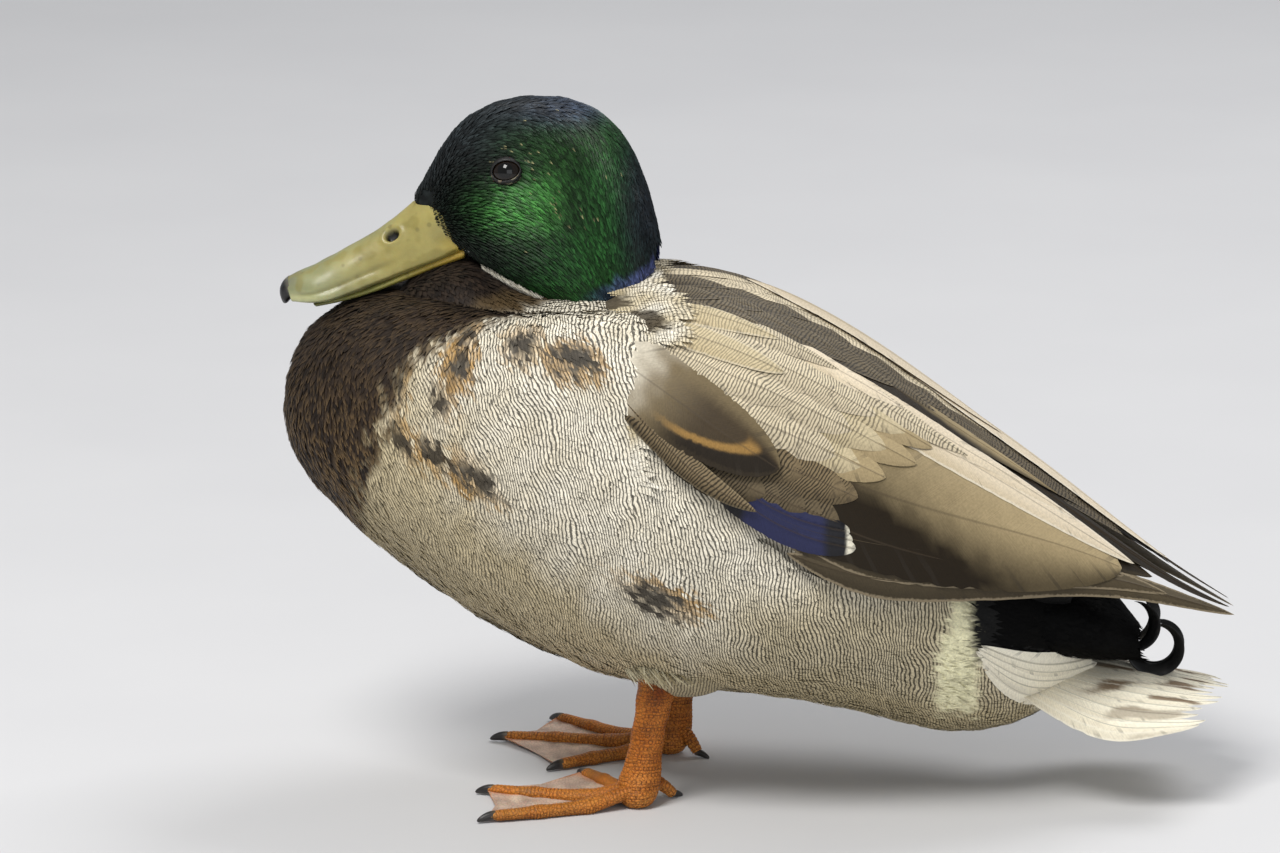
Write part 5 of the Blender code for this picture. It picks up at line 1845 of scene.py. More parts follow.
@dataclass
class Tail:
    """Eighteen creamy tail feathers and the black curled coverts over them."""

    count: int = 18
    look: Look = Look(Shade.TAIL, Shade.TAN, Shade.WHITE, 0.1, 0.3, 0.4, 0.0, 2.0, Pattern.TAIL)
    curl_width: float = 5.6
    curl_thickness: float = 1.3
    curl_shrink: float = 0.22
    curl_lean: float = 48.0
    curl_gather: float = 0.6
    curls: tuple[tuple, ...] = (
        ("front", (129.6, 60.0), 11.0, 9.4, -70.0, 150.0),
        ("rear", (138.6, 50.6), 4.6, 9.2, -158.0, 275.0),
    )

    def quills(self) -> list[Quill]:
        """Tail feathers, middle ones longest and on top."""
        quills = []
        for place in np.linspace(-1.0, 1.0, self.count):
            end = 165.0 - 10.0 * abs(place) ** 1.7 - 3.0 * (1.0 + np.cos(40.0 * place))
            turn = 0.97 * place * (0.97 if abs(place) < 0.99 else 0.9)
            level = 0.3 - 2.2 * abs(place)
            quills.append(Quill((86.0, 0.6 * place), (end, turn), 0.10 * place, 6.6, 6.6, level, self.look,
                                0.8, 0.6))
        return quills

    def side_quills(self) -> list[Quill]:
        """White feathers from the cream band over the side of the tail's root."""
        look = Look(Shade.TAIL, Shade.TAN, Shade.WHITE, 0.1, 0.2, 0.3)
        rows = (
            (0.880, 80.0, 1.05, 138.0, -4.0, 6.0, 5.0, 0.7), (0.876, 79.0, 1.06, 124.0, -3.0, 6.5, 5.5, 0.9),
            (0.872, 78.0, 1.06, 110.0, -2.0, 6.5, 6.0, 1.1), (0.870, 76.0, 1.06, 96.0, -1.0, 6.5, 6.0, 1.3),
            (0.870, 74.0, 1.06, 84.0, 0.0, 5.0, 6.0, 1.5),
        )
        return feathers(*((*row, look, 0.6, 0.9, 0.8) for row in rows))

    def curl(self, place: tuple, shift: float, radius: float, begin: float, turn_range: float) -> Draft:
        """A curled covert: a thin vane on an arc in the bird's long plane, closing toward its tip.

        Each ring is a lens, as wide as the curl across the bird and as thick along the radius. Its black is
        lightened at both edges and along the middle of both faces, as painted sheen.
        """
        share = np.linspace(0.0, 1.0, 72)[:, None]
        turn = np.radians(begin + turn_range * share)
        wide = self.curl_width * (0.62 + 0.42 * np.sin(np.pi * share)) * np.maximum(1.0 - share ** 3, 0.02)
        section = around(16)
        across = 0.5 * wide * np.cos(section)
        dome = 0.5 * self.curl_thickness * np.maximum(1.0 - share ** 3, 0.08)
        lean = np.radians(self.curl_lean) * np.sign(shift)
        out = radius * (1.0 - self.curl_shrink * share) + dome * np.sin(section) + across * np.sin(lean)
        beside = shift * self.curl_gather + across * np.cos(lean)
        rings = np.stack((beside, place[0] + out * np.cos(turn), place[1] + out * np.sin(turn)), axis=-1)
        # painted sheen: the black is lightened in narrow bands at both edges and along the middle of both
        # faces
        gloss = 1.0 + 0.8 * np.cos(section * 2.0)[:, None] ** 8
        tint = np.broadcast_to(Shade.SOOT.light, rings.shape) * gloss
        barb = share * radius * np.radians(abs(turn_range)) - np.abs(across)
        none = np.zeros_like(barb)
        return tube(rings, tint, {"Barb": barb, "Rim": np.abs(np.cos(section)) + none, "Fringe": none,
                                  "Shaft": none, "Bars": none})

    def build(self, vane: Material, black: Material) -> list[Draft]:
        """Makes the tail and the four curls."""
        drafts = [QuillSet(TAIL, self.quills(), 1.0, 54, 13, 0.42, 6).draft()]
        shown("tail_feathers", drafts[0], vane, ("tail",), FEATHER_CREASE)
        for side in (1.0, -1.0):
            drafts.append(QuillSet(TRUNK, self.side_quills(), side, 40, 13, 0.4, 7).draft())
            shown("tail_side_feathers_" + side_word(side), drafts[-1], vane,
                  crease=FEATHER_CREASE)
        for pair, place, shift, radius, begin, turn_range in self.curls:
            for side in (1.0, -1.0):
                node = "curl_" + pair + "_" + side_word(side)
                curl = self.curl(place, side * shift, radius, begin, turn_range)
                shown(node + "_feather", curl, black, (node,), 75.0)
        return drafts


# ---- bill and eyes -----------------------------------------------------------------------


@dataclass
class Bill:
    """Olive-yellow bill: upper shell with nostrils and a lipped edge, dark nail and lower jaw."""

    knots: tuple = (0, 0.18, 0.38, 0.58, 0.76, 0.90, 1)
    ridge: tuple = ((-118.6, 202.6), (-126, 196.2), (-135, 190), (-144, 184.9), (-152, 180.4), (-158, 177.6),
                    (-162.4, 175.4))
    edge: tuple = ((-102.6, 188.6), (-111, 184.6), (-121, 180.3), (-132, 175.8), (-143, 171.4), (-152, 169.2),
                   (-160, 168.6))
    half_width: tuple = (9.2, 9.2, 8.9, 9.3, 10.2, 9.8, 5.4)
    fullness: float = 2.3
    nostril: tuple[float, float] = (-125.0, 192.2)
    nostril_size: tuple[float, float] = (3.1, 2.0)
    rows: int = 150
    sides: int = 150

    def upper(self) -> Draft:
        """Upper shell: a vault from edge to ridge, flat below, with nostrils, groove and swollen lip."""
        places, ridge = dense_spline(self.knots, self.ridge, self.rows)
        edge = dense_spline(self.knots, self.edge, self.rows)[1]
        wide = dense_spline(self.knots, self.half_width, self.rows)[1]
        turn = around(self.sides)
        rise = squared(np.cos(turn), self.fullness)
        rise = np.where(rise < 0.0, 0.14 * rise, rise)
        reach = squared(np.sin(turn), self.fullness)
        line = edge[:, None] + (ridge - edge)[:, None] * rise[None, :, None]
        rings = np.concatenate((wide[..., None] * reach[None, :, None], line), axis=-1)
        share, down = np.broadcast_arrays(places[:, None], np.abs(np.degrees((turn + np.pi) % TAU - np.pi)))
        lobe = 7.5 * np.exp(-(((down - 52.0) / 26.0) ** 2)) * (1.0 - eased(0.0, 0.16, share))
        rings = rings + lobe[..., None] * np.array((0.0, 0.80, 0.52))
        rings[..., 0] += np.sign(rings[..., 0]) * lobe * 0.34
        out = np.stack((np.sin(turn), -0.35 * np.cos(turn), 0.8 * np.cos(turn)), axis=-1)
        groove = np.exp(-((down - 76.0) / 4.0) ** 2) * eased(0.25, 0.55, share) * eased(1.0, 0.9, share)
        lip = np.exp(-((down - 88.0) / 6.0) ** 2) * eased(0.1, 0.4, share)
        back, high = rings[..., 1] - self.nostril[0], rings[..., 2] - self.nostril[1]
        away = np.hypot((-back * 0.85 - high * 0.52) / self.nostril_size[0],
                        (-back * 0.52 + high * 0.85) / self.nostril_size[1])
        hole = (1.0 - eased(0.45, 1.0, away)) * (down < 100.0)
        rim = np.exp(-((away - 1.25) / 0.28) ** 2) * (down < 100.0)
        relief = -0.45 * groove + 0.35 * lip - 2.6 * hole + 0.42 * rim + 0.10 * ripple(rings, 7.0, 91)
        rings = rings + out * relief[..., None]
        return tube(rings, self.colours(rings, share, down, hole, groove))

    def colours(self, points: Array, share: Array, down: Array, hole: Array, groove: Array) -> Array:
        """Olive-yellow at the root, greener and greyer ahead, with a dusky ridge and nostrils painted
        near-black as the shade inside their openings.
        """
        return layered(
            Shade.BILL, (Shade.BILL_AHEAD, eased(0.35, 0.95, share)),
            (Shade.BILL_GREY, 0.7 * eased(0.86, 1.0, share) * eased(70.0, 20.0, down)),
            (Shade.BILL_LIP, eased(0.72, 1.0, share) * eased(60.0, 84.0, down)),
            (Shade.BILL_RIDGE, 0.6 * (1.0 - eased(10.0, 46.0, down)) * eased(0.05, 0.3, share)),
            (Shade.BILL_GAPE, 0.6 * eased(0.16, 0.0, share) * eased(70.0, 90.0, down)),
            (Shade.BILL_GROOVE, 0.45 * groove),
            (Shade.BILL_MOTTLE, 0.5 * eased(0.2, 0.9, ripple(points, 8.0, 92))),
            # painted shade: the nostrils' openings near-black over a shallow dent
            (Shade.NOSTRIL_SHADE, np.clip(hole * 1.8, 0.0, 1.0)))

    def fan(self, shell: FanSurface, rows: int, sides: int, *shades: tuple) -> Draft:
        """A closed fan of even rings, tinted by its share from the first section to the last.

        Args:
            shell: its outline.
            rows: number of rings.
            sides: points in a ring.
            shades: first shade, then pairs of a shade and the shares between which it comes in.

        Returns:
            The draft.
        """
        share = np.linspace(0.0, 1.0, rows)[:, None]
        rings = shell.at(share, np.linspace(0.0, 360.0, sides + 1)[None, :-1])
        share = np.broadcast_to(share, rings.shape[:2])
        return tube(rings, layered(shades[0], *((shade, eased(*span, share)) for shade, span in shades[1:])))

    def nail(self) -> Draft:
        """Dark nail hooked over the tip."""
        shell = FanSurface((0, 0.4, 0.75, 1),
                           ((-161.6, 176.0), (-163.7, 173.9), (-164.6, 170.4), (-163.8, 167.2)),
                           ((-159.6, 169.0), (-161.0, 167.8), (-162.2, 166.6), (-163.0, 166.4)),
                           (4.9, 4.1, 2.9, 1.0), 2.3)
        return self.fan(shell, 30, 40, Shade.NAIL_ROOT, (Shade.NAIL, (0.0, 0.35)))

    def lower(self) -> Draft:
        """Lower jaw under the lip, yellower toward the gape."""
        shell = FanSurface((0, 0.3, 0.65, 1), ((-99.8, 189.0), (-115, 182.3), (-134, 173.9), (-152.8, 167.4)),
                           ((-100.2, 184), (-114, 178.6), (-134, 170.7), (-151.2, 166.0)),
                           (8.2, 7.6, 7.7, 4.6), 2.5)
        return self.fan(shell, 90, 60, Shade.JAW_ROOT, (Shade.JAW, (0.1, 0.6)), (Shade.JAW_TIP, (0.7, 0.95)))

    def build(self, horn: Material, dark: Material) -> None:
        """Makes the three pieces."""
        shown("bill_upper_shell", self.upper(), horn, ("bill_upper",))
        shown("bill_lower_shell", self.lower(), horn, ("bill_lower",))
        shown("bill_nail_hook", self.nail(), dark, ("bill_nail",))


@dataclass
class Eye:
    """One eye: a wet ball set in the head and a soft ring of lids round its opening."""

    side: float
    centre: tuple[float, float, float] = (16.0, -84.0, 216.8)
    radius: float = 6.0
    half_long: float = 5.1
    half_tall: float = 3.7
    tilt: float = -10.0

    def frame(self) -> tuple[Array, Array, Array, Array]:
        """Centre of the ball, its outward axis, and the opening's long and short ways."""
        axis = unit(np.array((self.side * 0.955, -0.10, 0.28)))
        long_way = unit(np.cross(axis, (0.0, 0.0, 1.0)))
        long_way = long_way * np.sign(-long_way[1])
        tall_way = unit(np.cross(long_way, axis))
        tall_way = tall_way * np.sign(tall_way[2])
        cosine, sine = np.cos(np.radians(self.tilt)), np.sin(np.radians(self.tilt))
        turned, raised = long_way * cosine + tall_way * sine, tall_way * cosine - long_way * sine
        return np.array(self.centre) * (self.side, 1.0, 1.0), axis, turned, raised

    def ball(self) -> Draft:
        """The ball: rings of equal angle from the axis."""
        centre, axis, long_way, tall_way = self.frame()
        polar, turn = np.linspace(np.pi - 0.02, 0.02, 60)[:, None], around(64)
        bulge = 1.0 + 0.05 * (1.0 - eased(0.0, 0.75, polar))
        ray = (np.cos(polar)[..., None] * axis + (np.sin(polar) * np.cos(turn))[..., None] * long_way
               + (np.sin(polar) * np.sin(turn))[..., None] * tall_way)
        rings = centre + self.radius * bulge[..., None] * ray
        away = np.where(polar < np.pi / 2.0, np.sin(polar), 1.0) + 0.0 * turn
        return tube(rings, np.full(rings.shape, 0.01), {"Away": away})

    def lids(self) -> Draft:
        """Lids: a rounded rim that hugs the ball along an almond line, thicker above."""
        centre, axis, long_way, tall_way = self.frame()
        turn, section = around(96)[:, None], around(20)
        pinch = 1.0 - 0.10 * np.cos(turn) ** 8
        thick = 0.85 + 0.25 * np.maximum(np.sin(turn), 0.0)
        out = thick * (0.55 + 0.95 * np.cos(section)) * 0.9
        long = (self.half_long + out) * np.cos(turn)
        tall = (self.half_tall + out) * np.sin(turn) * pinch
        apart = np.minimum(np.hypot(long, tall), self.radius * 1.03)
        height = np.sqrt(np.maximum((self.radius * 1.05) ** 2 - apart ** 2, 0.05))
        height = height + 0.05 + 0.55 * thick * np.sin(section) - 0.25 * eased(0.2, 1.0, np.cos(section))
        rings = centre + long[..., None] * long_way + tall[..., None] * tall_way + height[..., None] * axis
        fleck = eased(0.55, 1.0, ripple(rings, 1.6, 95)) * eased(0.2, -0.4, np.sin(turn))
        tint = layered(Shade.LID, (Shade.LID_FLECK, fleck * 0.7))
        rows, sides = rings.shape[:2]
        faces = grid_faces(rows + 1, sides) % (rows * sides)
        return outward(Draft(rings.reshape(-1, 3), faces, tint.reshape(-1, 3)))

    def build(self, eye: Material, lid: Material) -> None:
        """Makes ball and lids."""
        word = side_word(self.side)
        shown("eyeball_" + word, self.ball(), eye, ("eye_" + word,))
        shown("eyelids_" + word, self.lids(), lid)


# ---- legs and feet -----------------------------------------------------------------------


def limb(line: Array, heading: Array, wide: Array, tall: Array) -> Array:
    """Rings across a line, square to their heading, none of them under the floor.

    Args:
        line: middles of the rings.
        heading: the way the line runs, for all rings or for each.
        wide: half widths round each ring, seen level.
        tall: half heights round each ring.

    Returns:
        The rings' points.
    """
    ahead = unit(np.broadcast_to(heading, line.shape))
    beside = unit(np.cross((0.0, 0.0, 1.0), ahead))
    above = np.cross(ahead, beside)
    turn = around(wide.shape[1])
    rings = (line[:, None] + (wide * np.cos(turn))[..., None] * beside[:, None]
             + (tall * np.sin(turn))[..., None] * above[:, None])
    rings[..., 2] = np.maximum(rings[..., 2], 0.03)
    return rings


def scales(first: Array, second: Array, long: float, wide: float) -> Array:
    """Rows of rounded scales: one less the cubes of the way from each scale's middle.

    Args:
        first: distance along the limb.
        second: distance round it.
        long: length of a scale.
        wide: its width; every second row is shifted by half of it.

    Returns:
        One on a scale's crown and zero in the furrows.
    """
    row = np.floor(first / long)
    inside = first / long - row - 0.5
    beside = second / wide + 0.5 * (row % 2.0)
    beside = beside - np.floor(beside) - 0.5
    return np.maximum((1.0 - (2.0 * np.abs(inside)) ** 3) * (1.0 - (2.0 * np.abs(beside)) ** 3), 0.0)


@dataclass
class Foot:
    """One leg with its webbed foot: scaled shank, three toes, two webs, hind toe and four claws."""

    side: float
    place: tuple[float, float]
    top: tuple[float, float]
    tips: tuple[tuple[float, float], ...]
    hind: tuple[float, float]
    levels: tuple = (3.0, 9.0, 13.0, 20.0, 28.0, 36.0, 44.0, 54.0, 60.0)
    half_fore: tuple = (6.6, 7.2, 6.7, 5.9, 5.7, 6.1, 6.8, 7.6, 8.2)
    half_side: tuple = (5.6, 4.8, 3.9, 3.4, 3.5, 4.2, 5.0, 5.8, 6.4)
    claw_length: float = 6.4
    claw_radius: float = 1.5

    def skin_tint(self, relief: Array, points: Array) -> Array:
        """Orange scales with brown furrows, darker and redder near the belly as painted shade under it, and
        yellower on the toes.
        """
        crown = layered(Shade.LEG, (Shade.LEG_SHADE_UNDER_BELLY, eased(26.0, 56.0, points[..., 2])),
                        (Shade.TOE, 1.0 - eased(3.0, 9.0, points[..., 2])),
                        (Shade.LEG_WARM, 0.5 + 0.5 * ripple(points, 9.0, 96)))
        return blend(Shade.FURROW.light, crown, eased(0.0, 0.5, relief))

    def shank(self) -> Draft:
        """Leg: squared rings on a slanting line, with broad scutes in front and small scales behind."""
        level, sizes = dense_spline(self.levels, np.stack((self.half_fore, self.half_side), axis=-1), 260)
        level = level[:, None]
        foot = np.array(self.place)
        middle = foot + (np.array(self.top) - foot) * ((level - 9.0) / 45.0)
        turn = around(130)
        broad, small = scales(level, 0.25, 1.6, 1.0), scales(level, turn / TAU * 36.0, 1.15, 1.385)
        relief = small + (broad - small) * eased(0.25, 0.75, -np.cos(turn))
        unrolled = np.stack(np.broadcast_arrays(turn * 6.0, level, 0.0), axis=-1)
        push = 0.22 * (relief - 0.5) + 0.16 * ripple(unrolled, 8.0, 97)
        fore = (sizes[:, :1] + push) * np.cos(turn)
        wide = (sizes[:, 1:] + push) * np.sin(turn)
        rings = np.stack((middle[:, :1] + wide, middle[:, 1:] + fore, level + 0.0 * fore), axis=-1)
        return tube(rings, self.skin_tint(relief, rings))

    def knuckle(self) -> Draft:
        """Swollen joint where the toes meet the leg, flat underneath."""
        polar, turn = np.linspace(0.03, np.pi - 0.03, 60)[:, None], around(80)
        relief = scales(polar * 7.0, turn * 7.0, 1.6, 1.8)
        reach = (6.4 + 0.3 * (relief - 0.5)) * np.sin(polar) ** 0.8
        level = 4.4 + (4.6 + 0.3 * (relief - 0.5)) * np.cos(polar)
        rings = np.stack((self.place[0] + reach * np.cos(turn), self.place[1] + reach * np.sin(turn) - 0.8,
                          np.maximum(level, 0.05)), axis=-1)
        return tube(rings, self.skin_tint(relief, rings))

    def toe_line(self, tip: tuple[float, float], share: Array) -> Array:
        """Middle line of a toe: out from the joint in a slight bow, sinking to the floor."""
        tip = np.array(tip)
        beside = np.array((-tip[1], tip[0])) / np.linalg.norm(tip)
        bow = 1.2 * self.side * np.sin(np.pi * share) * np.sign(tip[0] + 12.0)
        flat = np.array(self.place) + share[..., None] * tip + bow[..., None] * beside
        level = 2.3 + 4.2 * (1.0 - eased(0.0, 0.38, share))
        return np.concatenate((flat, level[..., None]), axis=-1)

    def toe(self, tip: tuple[float, float]) -> Draft:
        """Toe: rings across its line, swollen at two joints, with cross scutes on top."""
        share = np.linspace(0.02, 1.0, 200)
        line = self.toe_line(tip, share)
        along, turn = share[:, None] * np.linalg.norm(tip), around(72)
        swell = 0.5 * np.exp(-((share - 0.36) / 0.06) ** 2) + 0.45 * np.exp(-((share - 0.68) / 0.05) ** 2)
        radius = 3.3 - 1.2 * share + swell - 0.9 * eased(0.93, 1.0, share)
        broad, small = scales(along, 0.25, 1.35, 1.0), scales(along, turn * 3.0, 1.1, 1.1)
        relief = small + (broad - small) * eased(-0.2, 0.5, np.sin(turn))
        reach = radius[:, None] + 0.26 * (relief - 0.5)
        rings = limb(line, np.gradient(line, axis=0) * (1.0, 1.0, 0.3), reach, 0.82 * reach)
        return tube(rings, self.skin_tint(relief, rings))

    def web(self, first: tuple[float, float], second: tuple[float, float]) -> Draft:
        """Web between two toes: straight lines from toe to toe, drawn in at the edge, a thin wavy slab."""
        out, side = np.linspace(0.06, 1.0, 64)[:, None], np.linspace(0.0, 1.0, 48)[None, :]
        reach = out * (1.0 - 0.08 * np.sin(np.pi * side) * out)
        near, far = self.toe_line(first, reach), self.toe_line(second, reach)
        flat = near + (far - near) * side[..., None]
        sag = np.sin(np.pi * side) ** 0.7
        wrinkle = 0.22 * ripple(flat * (1.0, 1.0, 0.2), 5.0, 98) * sag
        level = flat[..., 2] * (1.0 - 0.75 * sag) + 0.25 + wrinkle
        upper = np.concatenate((flat[..., :2], np.maximum(level, 0.5)[..., None]), axis=-1)
        lower = upper - (0.0, 0.0, 0.42)
        lower[..., 2] = np.maximum(lower[..., 2], 0.03)
        near_toe = 1.0 - eased(0.0, 0.16, np.minimum(side, 1.0 - side))
        tint = layered(Shade.WEB, (Shade.WEB_DARK, 0.5 + 0.5 * ripple(upper, 6.0, 99)),
                       (Shade.WEB_EDGE, near_toe * 0.8), (Shade.WEB_ROOT, 0.7 * (1.0 - eased(0.1, 0.4, out))))
        return tube(np.concatenate((upper, lower[:, ::-1]), axis=1),
                    np.concatenate((tint, tint[:, ::-1]), axis=1))

    def horn(self, root: Array, aim: tuple, length: float, radius: float, fall: float) -> Draft:
        """Claw: shrinking rings along a line that bends down with the square of its share."""
        share = np.linspace(0.0, 1.0, 34)
        aim = unit(np.array(aim))
        line = root + share[:, None] * aim * length - share[:, None] ** 2 * (0.0, 0.0, fall)
        thick = radius * np.sqrt(np.maximum(1.0 - share ** 1.6, 0.0)) + 0.12
        thick = np.repeat(thick[:, None], 28, axis=1)
        rings = limb(line, aim, 0.85 * thick, thick)
        tint = layered(Shade.CLAW_ROOT, (Shade.CLAW, eased(0.0, 0.35, share)))
        return tube(rings, np.broadcast_to(tint[:, None], rings.shape))

    def hind_toe(self) -> Draft:
        """Small raised hind toe, slanting down to its claw."""
        share = np.linspace(0.0, 1.0, 60)
        start = np.array((*self.place, 8.6)) + (*(unit(np.array(self.hind)) * 4.5), 0.0)
        end = np.array((*(np.array(self.place) + self.hind), 2.0))
        line = start + (end - start) * share[:, None] + (0.0, 0.0, 0.8) * np.sin(np.pi * share)[:, None]
        relief = scales(share[:, None] * 11.0, around(40) * 2.4, 1.5, 2.0)
        radius = (2.7 - 0.9 * share)[:, None] + 0.24 * (relief - 0.5)
        rings = limb(line, np.gradient(line, axis=0), radius, radius)
        return tube(rings, self.skin_tint(relief, rings))

    def build(self, leg: Material, web: Material, dark: Material) -> None:
        """Makes leg, toes, webs, hind toe and claws."""
        word, tips, foot = side_word(self.side), self.tips, np.array(self.place)
        shown("leg_scaled_" + word, self.shank(), leg, ("leg_" + word,))
        toes = join([self.knuckle()] + [self.toe(tip) for tip in tips])
        shown("foot_toes_" + word, toes, leg, ("foot_" + word,))
        webs = join([self.web(tips[0], tips[1]), self.web(tips[1], tips[2])])
        shown("foot_webs_" + word, webs, web, crease=60.0)
        shown("hallux_toe_" + word, self.hind_toe(), leg, ("hallux_" + word,))
        claws = [(toe, tip, 2.2, 2.3, 0.05, self.claw_length, 1.1 * self.claw_radius, 1.6)
                 for toe, tip in zip(("outer", "middle", "inner"), tips)]
        for toe, tip, inset, level, rise, length, radius, fall in (
                *claws, ("hind", self.hind, 0.6, 2.0, -0.15, 5.6, 1.3, 0.9)):
            ahead = unit(np.array(tip))
            root = np.array((*(foot + np.array(tip) - ahead * inset), level))
            node = "claw_" + toe + "_" + word
            shown(node + "_horn", self.horn(root, (*ahead, rise), length, radius, fall), dark,
                  (node,))


@dataclass
class ThighDown:
    """Loose downy feathers where a leg leaves the belly."""

    side: float
    place: tuple[float, float]
    count: int = 420

    def build(self, material: Material) -> None:
        """Makes one ring of hanging tufts round the leg's top."""
        draw = np.random.default_rng(40 + int(self.side))
        count = self.count
        turn = draw.uniform(0.0, TAU, count)
        reach = 7.5 + 6.5 * draw.random(count) ** 0.8
        root = np.stack((self.place[0] + reach * np.cos(turn) * 0.85, self.place[1] + reach * np.sin(turn),
                         53.5 - 0.25 * (reach - 7.5)), axis=-1)
        lean = np.stack((0.30 * np.cos(turn), 0.25 * np.sin(turn) + 0.55, np.full(count, -0.75)), axis=-1)
        aim = unit(lean + draw.normal(0.0, 0.16, (count, 3)))
        length = draw.uniform(5.5, 9.5, count)
        share = np.array((0.0, 0.35, 0.7, 1.0))
        line = root[:, None] + aim[:, None] * (length[:, None] * share)[..., None]
        line = line + np.array((0.0, 0.5, 0.15)) * (share ** 2)[None, :, None] * 2.5
        beside = unit(np.cross(aim, draw.normal(size=(count, 3))))
        above = np.cross(aim, beside)
        wide = 0.55 * np.array((0.7, 1.0, 0.7))
        section = around(3)[None, :, None]
        ring = np.cos(section) * beside[:, None] + np.sin(section) * above[:, None] * 0.5
        body = line[:, :3, None] + ring[:, None] * wide[None, :, None, None]
        every = np.concatenate((body.reshape(count, -1, 3), line[:, 3:]), axis=1)
        faces = ring_faces(3, 3)[None] + (np.arange(count) * 10)[:, None, None]
        tone = np.repeat(draw.random(count), 10)
        tint = layered(Shade.DOWN, (Shade.DOWN_DARK, tone))
        bake = np.repeat(np.stack((turn / TAU, reach / 20.0), axis=-1), 10, axis=0)
        corner = np.concatenate((np.tile(((0, 0), (PATCH, 0), (0, PATCH)), (3, 1)), ((PATCH, PATCH),)))
        draft = Draft(every.reshape(-1, 3), faces.reshape(-1, 4), tint, {"Bars": np.full(len(tone), 0.3)},
                      None, bake + np.tile(corner, (count, 1)))
        shown("thigh_down_" + side_word(self.side), draft, material, crease=FEATHER_CREASE)


# ---- skin --------------------------------------------------------------------------------


